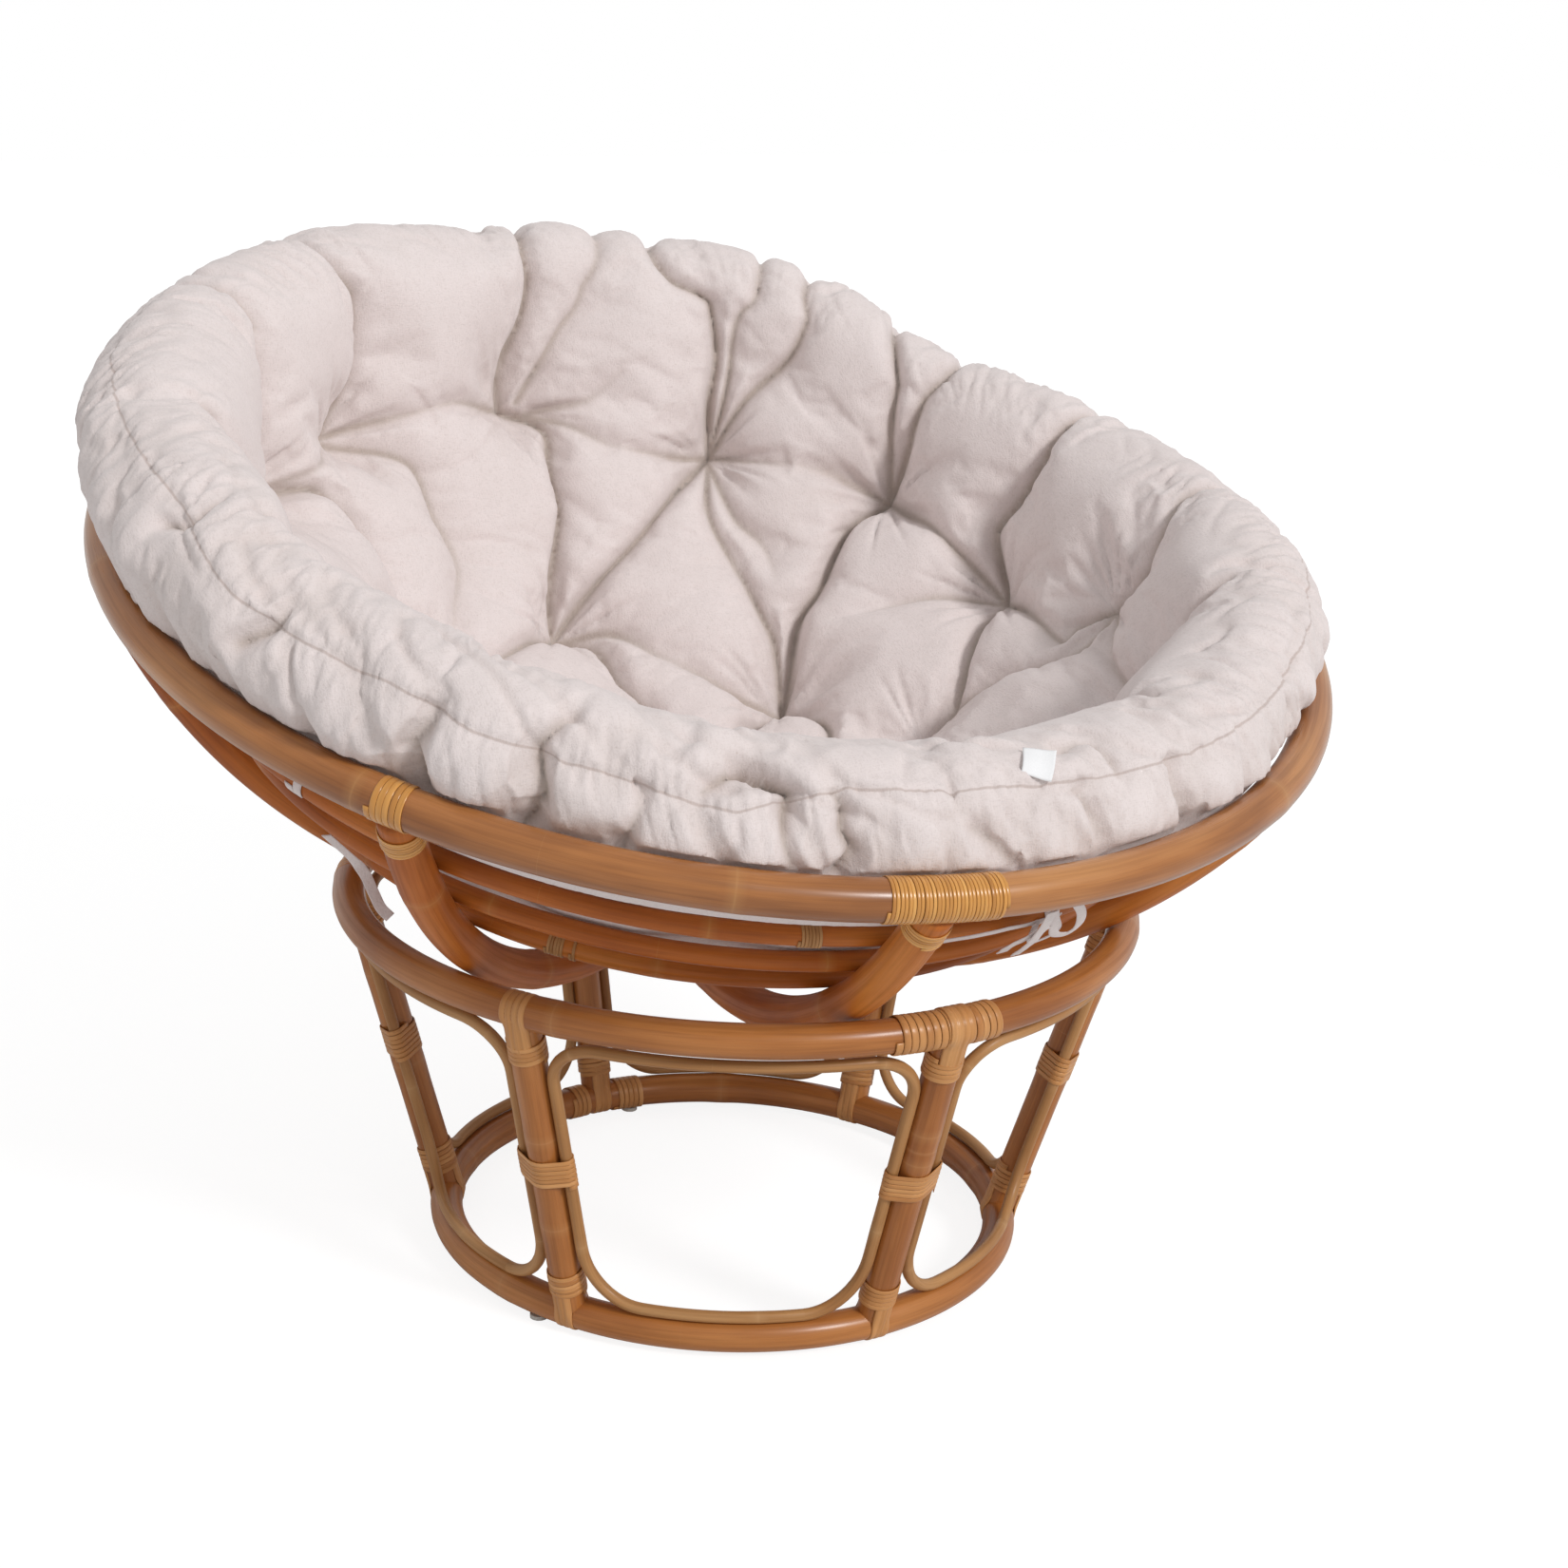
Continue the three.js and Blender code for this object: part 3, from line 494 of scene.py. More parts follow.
def point_path(points):
    """A path through points that close on themselves."""
    count = len(points)

    def path(share):
        place = share * count
        i = int(place) % count
        part = place - int(place)
        point = points[i].lerp(points[(i + 1) % count], part)
        before = points[i] - points[i - 1]
        here = points[(i + 1) % count] - points[i]
        after = points[(i + 2) % count] - points[(i + 1) % count]
        along = (before.normalized() + here.normalized()).lerp(here.normalized() + after.normalized(), part)
        out = Vector((point.x, point.y, -0.3)).normalized()
        return frame_at(point, along, out)

    return path


def build_stand():
    def add_pole(name, at, bm, replaced):
        add_piece(name, placed(at, bm), stand_cane, "stand", "stand_pole", replaced)

    length = 2 * math.pi * TOP_RING_RADIUS
    path = ring_path(TOP_RING_RADIUS, TOP_RING_HEIGHT, 268)
    bm = cane_pole(path, length, STAND_POLE - 0.0004, 28, 280, knot_places(length, 0.39, 0.31), 3.0, True)
    add_pole("top_ring_pole", STAND, bm, "stand_top_ring")
    length = 2 * math.pi * BOTTOM_RING_RADIUS
    path = ring_path(BOTTOM_RING_RADIUS, BOTTOM_RING_HEIGHT, 150)
    bm = cane_pole(path, length, STAND_POLE - 0.0002, 28, 220, knot_places(length, 0.34, 0.2), 7.0, True)
    add_pole("bottom_ring_pole", STAND, bm, "stand_bottom_ring")

    loop = loop_points()
    loop_length = sum((loop[i] - loop[i - 1]).length for i in range(len(loop)))
    post_length = POST_SLANT - 2 * POST_END_INSET
    for i, turn in enumerate(POST_TURNS):
        knots = [0.08 + 0.017 * ((i * 5) % 7), 0.235 - 0.011 * ((i * 3) % 5)]
        path = lambda share: post_frame(POST_END_INSET + post_length * share)
        bm = cane_pole(path, post_length, STAND_POLE - 0.0002, 28, 44, knots, 11.0 + i)
        add_pole(f"post_{i + 1}", turned(STAND, turn), bm, f"stand_post_{i + 1}")
        knots = knot_places(loop_length, 0.21, 0.05 + 0.03 * i)
        bm = cane_pole(point_path(loop), loop_length, LOOP_POLE, 16, 200, knots, 31.0 + i, True)
        at = turned(STAND, turn + 30)
        add_piece(f"loop_{i + 1}", placed(at, bm), loop_cane, "stand", "loop_pole", f"bay_loop_{i + 1}")


# Bowl frame
def build_bowl_frame():
    length = 2 * math.pi * RIM_RADIUS
    knots = [RIM_RADIUS * math.radians(turn) for turn in RIM_KNOT_TURNS]
    bm = cane_pole(ring_path(RIM_RADIUS, -RIM_DROP, 270), length, RIM_POLE, 32, 420, knots, 1.0, True)
    add_piece("rim_pole", placed(RIBS, bm), rim_cane, "bowl", "rim_pole", "bowl_rim")

    def add_rib(name, turn, low, high, steps, knots, seed):
        length = math.radians(high - low) * BOWL_RADIUS
        knots = knot_places(length, *knots)
        bm = cane_pole(arc_path(low, high), length, RIB_POLE - 0.0004, 28, steps, knots, seed)
        add_piece(f"{name}_pole", placed(turned(RIBS, turn), bm), rib_cane, "bowl", "rib_pole", name)

    reach = RIM_RISE - 1.2
    add_rib("long_rib_side", 0, -reach, reach, 190, (0.31, 0.12), 51.0)
    add_rib("long_rib_front", 90, -reach, reach, 190, (0.31, 0.22), 52.0)
    foot = math.degrees(math.asin((BOTTOM_HOOP_RADIUS - RIB_FOOT_INSET) / BOWL_RADIUS))
    for i in range(4):
        add_rib(f"short_rib_{i + 1}", 45 + 90 * i, foot, reach, 90, (0.29, 0.09 + 0.05 * i), 61.0 + i)

    def add_hoop(name, rise, start, steps, knots, seed):
        place = sphere_point(HOOP_SPHERE, rise)
        length = 2 * math.pi * place.x
        path = ring_path(place.x, place.z, start)
        bm = cane_pole(path, length, HOOP_POLE, 20, steps, knot_places(length, *knots), seed, True)
        add_piece(f"{name}_pole", placed(RIBS, bm), rib_cane, "bowl", "rib_pole", name)

    for i, (name, rise) in enumerate(HOOP_RISES.items()):
        add_hoop(name, rise, 262.2 + 9 * i, 240, (0.27, 0.1 + 0.07 * i), 71.0 + i)
    rise = math.degrees(math.asin(BOTTOM_HOOP_RADIUS / HOOP_SPHERE))
    add_hoop("bottom_hoop", rise, 20, 110, (0.26, 0.1), 75.0)


# Cane bindings
def flat_section(turn):
    """A point on the outline of a flat strip with rounded edges, across it and out from it."""
    across, out = math.cos(turn), math.sin(turn)
    return math.copysign(abs(across) ** 0.4, across), math.copysign(abs(out) ** 0.75, out)


def strip_winding(turns, spine, outline, width=STRIP_WIDTH, pitch=STRIP_PITCH, seed=0.0, steps=28):
    """One unbroken flat strip wound round an outline that a spine carries along."""

    def shape(share, turn):
        lap = share * turns
        loose = noise.noise(Vector((lap * 1.3, seed, 0.0)))
        flat, round_back = flat_section(turn)
        side = flat * width / 2 * (1 + 0.06 * loose)
        out = STRIP_THICKNESS / 2 * round_back
        along = (lap - turns / 2) * pitch + side + 0.0004 * loose
        point, normal = outline(lap * 2 * math.pi)
        spot = point + normal * (out + STRIP_THICKNESS / 2 + 0.0002 * loose)
        grain = Vector((lap * 0.12 + seed, side, out))
        return spine(along) @ Vector((spot.x, spot.y, 0)), grain, 1.0

    return rolled_grid(10, int(turns * steps), False, shape)


def round_outline(radius):
    def outline(turn):
        normal = Vector((math.cos(turn), math.sin(turn)))
        return normal * radius, normal

    return outline


def three_pole_outline(big, small, offset):
    """Round a post with a loop's pole on each side of it."""
    slope = math.asin((big - small) / offset)
    samples = []
    for centre, radius, start, end in (
        (offset, small, -math.pi / 2 + slope, math.pi / 2 - slope),
        (0, big, math.pi / 2 - slope, math.pi / 2 + slope),
        (-offset, small, math.pi / 2 + slope, 3 * math.pi / 2 - slope),
        (0, big, 3 * math.pi / 2 - slope, 3 * math.pi / 2 + slope),
    ):
        for i in range(9):
            turn = start + (end - start) * i / 8
            normal = Vector((math.cos(turn), math.sin(turn)))
            samples.append((Vector((centre, 0)) + normal * radius, normal))
    lengths = [0.0]
    for i in range(1, len(samples) + 1):
        lengths.append(lengths[-1] + (samples[i % len(samples)][0] - samples[i - 1][0]).length)

    def outline(turn):
        place = (turn / (2 * math.pi)) % 1 * lengths[-1]
        i = max(k for k in range(len(samples)) if lengths[k] <= place)
        gap = lengths[i + 1] - lengths[i]
        part = (place - lengths[i]) / gap if gap else 0
        a, b = samples[i], samples[(i + 1) % len(samples)]
        return a[0].lerp(b[0], part), a[1].lerp(b[1], part).normalized()

    return outline


def post_spine(centre):
    return lambda along: post_frame(centre + along)


def strap(centre, up, radius, lanes, reach, seed):
    """Strips side by side that run up a post's face, over the ring at its end and down the other face."""
    outward = Vector((up.z, 0, -up.x))
    bend = math.pi * radius
    length = bend + 2 * reach

    def shape(share, turn):
        part = turn / (2 * math.pi)
        on_top = part < 0.5
        across = 1 - 4 * part if on_top else 4 * part - 3
        side = across * lanes * STRAP_LANE / 2
        lane = (across + 1) / 2 * lanes % 1
        height = STRAP_THICKNESS * (0.3 + 0.7 * (1 - abs(2 * lane - 1) ** 4)) if on_top else 0
        along = share * length
        below = max(reach - along, along - reach - bend, 0)
        face = math.sqrt(STAND_POLE**2 - side**2) + 0.0002
        near = min(1, below / 0.014)
        offset = radius - (radius - face) * near * near * (3 - 2 * near)
        turn_over = min(max((along - reach) / radius, 0), math.pi)
        normal = outward * math.cos(turn_over) + up * math.sin(turn_over)
        place = centre + normal * (offset + height) - up * below
        return place + Vector((0, side, 0)), Vector((along + seed, side, height)), 1.0

    return rolled_grid(12 * lanes, 90, False, shape)


def build_stand_bindings():
    def add_strip(name, at, bm, *replaced):
        add_piece(name, placed(at, bm), strip_cane, "stand", "cane_strip", *replaced)

    post_round = round_outline(STAND_POLE + 0.0002)
    loop_offset = STAND_POLE + POST_TO_LOOP + LOOP_POLE
    bay_round = three_pole_outline(STAND_POLE + 0.0003, LOOP_POLE + 0.0006, loop_offset)
    from_ring = LASHING_FROM_RING + 1.5 * STRIP_PITCH
    for i, turn in enumerate(POST_TURNS):
        label = i + 1
        at_post = turned(STAND, turn)
        for place, turns, outline, centre in (
            ("top", 4.6, post_round, POST_SLANT - from_ring),
            ("middle", 6.2, bay_round, POST_SLANT / 2),
            ("bottom", 5.4, post_round, from_ring),
        ):
            seed = 5.0 * i + turns
            bm = strip_winding(turns, post_spine(centre), outline, *POST_STRIP, seed)
            add_strip(f"post_{label}_{place}_wrap", at_post, bm, f"post_{label}_{place}_lashing")
        over_ring = STRAP_OVER_LASHING if label == LASHED_POST else STRAP_OVER_RING
        for place, centre, up, radius, lanes in (
            ("top", POST_HEAD, POST_UP, over_ring, 4),
            ("bottom", POST_FOOT, -POST_UP, STAND_POLE - 0.0002, 3),
        ):
            bm = strap(centre, up, radius, lanes, STRAP_REACH, 90.0 + i)
            add_strip(f"post_{label}_{place}_strap", at_post, bm)
    bm = strip_winding(14.6, ring_spine(TOP_RING_RADIUS, TOP_RING_HEIGHT, 268.7), post_round, seed=40.0)
    add_strip("top_ring_wrap", STAND, bm, "top_ring_lashing")
    for i, (turn, turns) in enumerate(BOTTOM_RING_WRAPS):
        spine = ring_spine(BOTTOM_RING_RADIUS, BOTTOM_RING_HEIGHT, turn)
        bm = strip_winding(turns, spine, round_outline(STAND_POLE), *RING_STRIP, 45.0 + i)
        add_strip(f"bottom_ring_wrap_{i + 1}", STAND, bm)


def build_bowl_bindings():
    def add_strip(name, at, bm, material, *replaced):
        add_piece(name, placed(at, bm), material, "bowl", "cane_strip", *replaced)

    rim_spine = ring_spine(RIM_RADIUS, -RIM_DROP)
    rim_round = round_outline(RIM_POLE + 0.0001)
    end_spine, end_round = rib_spine(RIM_RISE - 3.5), round_outline(RIB_POLE - 0.0003)
    for i in range(8):
        if i in RIBS_WITHOUT_BINDING:
            continue
        at_rib = turned(RIBS, 45 * i)
        if i == SPLICED_RIB:
            bm = strip_winding(30, rim_spine, rim_round, *STRAND, 56.0, 24)
            add_strip("rim_splice_wrap", at_rib, bm, gold_strip, "rim_splice_lashing")
        else:
            bm = strip_winding(5.3, rim_spine, rim_round, *RIM_STRIP, 50.0 + i)
            add_strip(f"rib_{i + 1}_rim_wrap", at_rib, bm, gold_strip, f"rib_lashing_{i + 1}")
        bm = strip_winding(5.3, end_spine, end_round, *STRAND, 70.0 + i)
        add_strip(f"rib_{i + 1}_end_wrap", at_rib, bm, gold_strip)
    for name, turn, turns in HOOP_SPLICES:
        place = sphere_point(HOOP_SPHERE, HOOP_RISES[name])
        spine = ring_spine(place.x, place.z, turn)
        bm = strip_winding(turns, spine, round_outline(HOOP_POLE), *HOOP_STRAND, turn, 20)
        add_strip(f"{name}_splice_wrap_{turn:.0f}", RIBS, bm, loop_cane)


def rounded(a, b, c, d, t):
    """The rounded line through a, b, c and d, at the share t of the way from b to c."""
    return 0.5 * (2 * b + (c - a) * t + (2 * a - 5 * b + 4 * c - d) * t**2 + (3 * b - a - 3 * c + d) * t**3)


# Cloth ties that knot the cushion to the hoops
def tape(places, width, side=None):
    """A flat cloth tape through places of (turn, rise, reach) in the bowl's own directions."""
    points = []
    for turn, rise, reach in places:
        points.append(Matrix.Rotation(math.radians(turn), 3, "Z") @ sphere_point(reach, rise))
    ends = [2 * points[0] - points[1], *points, 2 * points[-1] - points[-2]]

    def at(share):
        place = min(share * (len(points) - 1), len(points) - 1 - 1e-6)
        return rounded(*ends[int(place) : int(place) + 4], place - int(place))

    def shape(share, turn):
        here = at(share)
        along = (at(min(share + 0.01, 1)) - at(max(share - 0.01, 0))).normalized()
        across = (side - along * side.dot(along) if side else along.cross(here)).normalized()
        out = across.cross(along)
        flat, round_back = flat_section(turn)
        ruck = 0.0005 * noise.noise(Vector((share * 7, flat, places[0][0])))
        place = here + across * flat * width / 2 + out * (round_back * TAPE_THICKNESS / 2 + ruck)
        return place, Vector(), 0.0

    return placed(BOWL, rolled_grid(16, 60, False, shape))


def build_ties():
    hoop = sphere_point(HOOP_SPHERE, HOOP_RISES["upper_hoop"])
    for name, step in (("front_cushion_tie", 32), ("left_cushion_tie", 23)):
        spine = ring_spine(hoop.x, hoop.z, 9 * step)
        bm = placed(RIBS, strip_winding(1.1, spine, round_outline(HOOP_POLE + 0.0002), *TIE_BAND, step))
        add_piece(f"{name}_band", bm, canvas, "bowl", "cushion_cloth", name)
    for i, (width, places) in enumerate(FRONT_TIE):
        add_piece(f"front_tie_{i + 1}", tape(places, width), canvas, "bowl", "cushion_cloth")
    bm = tape(LEFT_TIE, LEFT_TIE_WIDTH, LEFT_TIE_SIDE)
    add_piece("left_tie", bm, canvas, "bowl", "cushion_cloth")


# Cushion
# A place on the cover is (turn, way): way -1 is the middle of the underside, 0 to 1 goes over the lip from
# outside to inside, and 2 is the middle of the seat
CENTRE_TUFT = [(0, 2.0)]
INNER_TUFTS = [(34, 1.64), (93, 1.58), (141, 1.57), (192, 1.57), (243, 1.57), (297, 1.57), (350, 1.57)]
OUTER_TUFTS = [(9, 1.27), (35, 1.19), (62, 1.25), (92, 1.20), (121, 1.20), (144, 1.20), (168, 1.20)]
OUTER_TUFTS += [(192, 1.20), (217, 1.20), (243, 1.20), (269, 1.20), (295, 1.20), (321, 1.20), (347, 1.17)]
TUFTS = CENTRE_TUFT + INNER_TUFTS + OUTER_TUFTS
UNDER_TUFT_RISES = {"inner": 30, "outer": 52}
# Each crease: its depths in mm at start, middle and end, its width in mm and the places it runs through
SEAT_CREASES = [
    ((24, 16, 8), 6, [(92, 1.20), (92, 1.13), (89, 1.02), (89, 0.82), (88, 0.49)]),
    ((12, 9, 6), 8, [(90, 1.19), (85, 1.08), (82, 1.02), (80, 0.87), (79, 0.67)]),
    ((16, 4, 16), 9, [(90, 1.21), (85, 1.23), (78, 1.27), (70, 1.27), (62, 1.25)]),
    ((14, 6, 0), 9, [(89, 1.21), (81, 1.19), (76, 1.13)]),
    ((16, 5, 16), 9, [(121, 1.20), (111, 1.20), (102, 1.19), (92, 1.20)]),
    ((26, 20, 24), 6, [(92, 1.20), (87, 1.24), (88, 1.32), (88, 1.39), (92, 1.50), (93, 1.58)]),
    ((22, 15, 6), 6, [(121, 1.20), (118, 1.14), (116, 1.05), (116, 0.97), (118, 0.76)]),
    ((16, 11, 5), 13, [(121, 1.21), (113, 1.28), (113, 1.37), (114, 1.46), (125, 1.54)]),
    ((14, 6, 14), 9, [(121, 1.20), (130, 1.22), (136, 1.22), (144, 1.20)]),
    ((24, 18, 6), 6, [(144, 1.20), (134, 1.25), (132, 1.31), (133, 1.37), (135, 1.43)]),
    ((18, 11, 4), 7, [(144, 1.20), (141, 1.11), (139, 1.06), (138, 0.98), (137, 0.87)]),
    ((24, 15, 24), 6, [(93, 1.58), (83, 1.51), (74, 1.43), (67, 1.33), (62, 1.25)]),
    ((17, 6, 17), 9, [(93, 1.58), (82, 1.60), (71, 1.66), (52, 1.69), (34, 1.64)]),
    ((24, 18, 20), 6, [(93, 1.58), (86, 1.62), (85, 1.72), (76, 1.80), (70, 2.0)]),
    ((18, 11, 14), 7, [(93, 1.58), (113, 1.62), (125, 1.62), (141, 1.57)]),
    ((24, 15, 9), 6, [(62, 1.25), (63, 1.17), (63, 1.08), (66, 0.96), (70, 0.88), (72, 0.67)]),
    ((17, 11, 3), 5, [(62, 1.25), (61, 1.13), (61, 1.03), (59, 0.91)]),
    ((20, 13, 9), 6, [(62, 1.25), (58, 1.15), (53, 1.05), (52, 0.93), (53, 0.73)]),
    ((14, 3, 16), 9, [(62, 1.25), (54, 1.25), (44, 1.21), (35, 1.19)]),
    ((15, 11, 24), 7, [(62, 1.26), (61, 1.37), (55, 1.45), (48, 1.51), (42, 1.55), (34, 1.64)]),
    ((14, 10, 0), 12, [(62, 1.26), (57, 1.36), (50, 1.40), (45, 1.47)]),
    ((22, 15, 6), 5, [(35, 1.19), (37, 1.08), (38, 0.96), (41, 0.60)]),
    ((22, 13, 7), 6, [(35, 1.19), (34, 1.07), (33, 0.91), (32, 0.70)]),
    ((28, 20, 28), 6, [(35, 1.19), (38, 1.27), (38, 1.41), (39, 1.50), (34, 1.64)]),
    ((18, 11, 18), 8, [(35, 1.19), (26, 1.21), (18, 1.24), (9, 1.27)]),
    ((24, 15, 6), 6, [(9, 1.27), (15, 1.18), (14, 1.11), (13, 1.03), (13, 0.90)]),
    ((14, 8, 0), 9, [(9, 1.27), (17, 1.34), (26, 1.45)]),
    ((16, 13, 24), 7, [(9, 1.27), (5, 1.35), (-3, 1.44), (-7, 1.49), (-10, 1.57)]),
    ((17, 11, 14), 8, [(9, 1.27), (-1, 1.27), (-11, 1.27), (-11, 1.23), (-13, 1.17)]),
    ((20, 13, 4), 6, [(-13, 1.17), (-15, 1.09), (-14, 1.02), (-11, 0.75)]),
    ((14, 11, 16), 8, [(-13, 1.17), (-17, 1.28), (-12, 1.38), (-7, 1.49)]),
    ((24, 16, 20), 6, [(34, 1.64), (35, 1.76), (30, 2.0)]),
    ((24, 16, 8), 6, [(34, 1.64), (23, 1.65), (8, 1.68), (-10, 1.77)]),
]
LIP_CREASES = [
    ((9, 9, 0), 5, [(185, 0.26), (187, 0.38), (186, 0.68)]),
    ((11, 11, 3), 5, [(198, 0.11), (199, 0.19), (200, 0.30), (200, 0.40)]),
    ((15, 13, 6), 5, [(217, -0.08), (216, -0.02), (215, 0.06), (216, 0.20), (216, 0.28)]),
    ((12, 15, 5), 5, [(224, -0.05), (226, 0.04), (225, 0.23), (225, 0.31), (226, 0.44), (227, 0.53)]),
    ((6, 12, 24), 6, [(239, 0.30), (240, 0.37), (241, 0.44), (242, 0.49)]),
    ((26, 15, 8), 5, [(242, 0.48), (244, 0.44), (246, 0.37), (246, 0.29), (246, 0.15), (247, 0.04)]),
    ((8, 13, 10), 5, [(250, 0.39), (251, 0.31), (251, 0.19), (252, 0.10), (251, 0.0)]),
    ((9, 7, 4), 5, [(233, -0.04), (234, 0.13), (234, 0.25)]),
    ((6, 8, 6), 5, [(274, 0.35), (275, 0.25), (276, 0.11)]),
    ((6, 7, 7), 6, [(286, 0.35), (286, 0.22), (288, -0.04)]),
    ((6, 7, 5), 6, [(274, 0.61), (278, 0.63), (279, 0.51), (279, 0.37)]),
    ((7, 9, 7), 6, [(263, 0.22), (265, 0.14), (267, 0.05)]),
]
# Where the seam round the lip runs
SEAM = [
    (0, 0.32), (40, 0.3), (154, 0.28), (166, 0.35), (177, 0.38), (185, 0.39), (193, 0.31), (200, 0.28),
    (212, 0.3), (220, 0.25), (231, 0.28), (236, 0.26), (242, 0.24), (245, 0.3), (251, 0.4), (266, 0.41),
    (279, 0.38), (289, 0.35), (330, 0.33), (360, 0.32),
]
TUFT_DEPTH = 0.040
TUFT_SPREAD = 0.058
UNDER_TUFT_DEPTH = 0.014
UNDER_TUFT_SPREAD = 0.062
SEAT_SLACK = 0.022
LIP_SLACK = 0.004
LIP_SAG = 0.016
WRINKLE_DEPTH = 0.0042
FINER_WRINKLE_DEPTH = 0.0016
TUFT_FOLD_DEPTH = 0.0042
TUFT_FOLD_REACH = 0.036
RUMPLE_DEPTH = 0.004
SEAM_DEPTH = 0.0017
SEAM_RIDGE = 0.0010
GATHER_DEPTH = 0.0016
UPRIGHT_DEPTH = 0.0075
FINER_UPRIGHT_DEPTH = 0.0018
UPRIGHT_SWELL = 0.006
FOLD_DEPTH = 0.0046
PUFF_FRAMES = 20
PUFF_CAP = 0.024


def lip_at(turn):
    """The middle line of the lip at each turn: its distance, its height and its rise."""
    place = (turn % 360) / 360 * len(LIP_RISE_SHARES)
    before = np.floor(place).astype(int) % len(LIP_RISE_SHARES)
    part = step_over(place - np.floor(place))
    shares = np.array(LIP_RISE_SHARES)
    lift = LIP_RISE * (shares[before] * (1 - part) + shares[(before + 1) % len(shares)] * part)
    reach = RIM_CLEARANCE + CUSHION_THICKNESS / 2
    inset = np.sqrt(np.maximum(reach**2 - lift**2, LEAST_LIP_INSET**2))
    x, z = RIM_RADIUS - inset, lift - RIM_DROP
    return x, z, np.degrees(np.arctan2(x, -z))


def near_rise(lip_rise):
    """The rise where the underside leaves the bowl and turns into the lip."""
    return np.minimum(RIM_RISE, UPPER_HOOP_RISE + 0.6 * (lip_rise - UPPER_HOOP_RISE))


def outer_reach(rise):
    """How far the cushion's underside is from the bowl's centre."""
    flare = np.clip((rise - UPPER_HOOP_RISE) / (RIM_RISE - UPPER_HOOP_RISE), 0, 1)
    return CUSHION_SPHERE + (BOWL_RADIUS - RIM_CLEARANCE - CUSHION_SPHERE) * flare


def polar(reach, rise):
    return reach * np.sin(np.radians(rise)), -reach * np.cos(np.radians(rise))


def spun(x, z, turn):
    """Points at the distance x from the bowl's axis and the height z."""
    return np.stack((x * np.cos(np.radians(turn)), x * np.sin(np.radians(turn)), z), axis=1)


def rise_of(points):
    return np.degrees(np.arctan2(np.hypot(points[:, 0], points[:, 1]), -points[:, 2]))


def step_over(x):
    x = np.clip(x, 0, 1)
    return x * x * (3 - 2 * x)


def skin(turn, way):
    """Points of the slack cover before it is tufted, for arrays of turns and ways."""
    lip_x, lip_z, lip_rise = lip_at(turn)
    near = near_rise(lip_rise)
    radius = CUSHION_THICKNESS / 2 - LIP_SLACK

    def lip(roll):
        x, z = polar(radius, lip_rise + 180 * roll)
        return np.stack((lip_x + x, lip_z + z))

    rise = near * np.clip((1 + way) / (1 - UNDER_END), 0, 1)
    under = np.stack(polar(outer_reach(rise), rise))
    join = np.clip((way + UNDER_END) / UNDER_END, 0, 1)
    under = under * (1 - join) + lip(0) * join
    over = lip(np.clip(way, 0, 1))
    part = np.clip(way - 1, 0, 1)
    rise = lip_rise * (1 - part)
    base = outer_reach(rise) - CUSHION_THICKNESS + SEAT_SLACK
    blend = step_over(part / 0.2)
    inner_end = np.hypot(*lip(1))
    inner = np.stack(polar(inner_end * (1 - blend) + base * blend, rise))
    x, z = np.where(way < 0, under, np.where(way <= 1, over, inner))
    return spun(x, z, turn)


def skin_normals(turn, way):
    """Which way the slack cover faces."""
    lip_rise = lip_at(turn)[2]
    under = near_rise(lip_rise) * np.clip((1 + way) / (1 - UNDER_END), 0, 1)
    over = np.where(way <= 1, lip_rise + 180 * way, lip_rise * (2 - way) + 180)
    return spun(*polar(1, np.where(way < 0, under, over)), turn)


def groove(values, width):
    return np.exp(-((values / width) ** 2))


def place_on_cover(points):
    """(turn, way) of each point in the bowl's own directions."""
    turn = np.degrees(np.arctan2(points[:, 1], points[:, 0]))
    across = np.hypot(points[:, 0], points[:, 1])
    rise = rise_of(points)
    lip_x, lip_z, lip_rise = lip_at(turn)
    away_x, away_z = across - lip_x, points[:, 2] - lip_z
    roll = (np.degrees(np.arctan2(away_x, -away_z)) - lip_rise) / 180
    roll = (roll + 1) % 2 - 1
    is_inner = np.hypot(across, points[:, 2]) < np.hypot(lip_x, lip_z)
    inner = np.clip(2 - rise / lip_rise, 1, 2)
    under = np.clip((1 - UNDER_END) * rise / near_rise(lip_rise) - 1, -1, 0)
    return turn, np.where(roll >= 0, roll, np.where(is_inner, inner, under))


def smooth_line(places, step=0.005):
    """Points on the skin along a rounded line through places."""
    places = np.array(places, float)
    ends = np.vstack((2 * places[0] - places[1], places, 2 * places[-1] - places[-2]))
    runs = []
    for a, b, c, d in zip(ends, ends[1:], ends[2:], ends[3:]):
        count = max(3, int(np.linalg.norm(skin(b[:1], b[1:]) - skin(c[:1], c[1:])) / step))
        t = np.arange(count)[:, None] / count
        runs.append(rounded(a, b, c, d, t))
    line = np.vstack(runs + [places[-1:]])
    return skin(line[:, 0], line[:, 1])


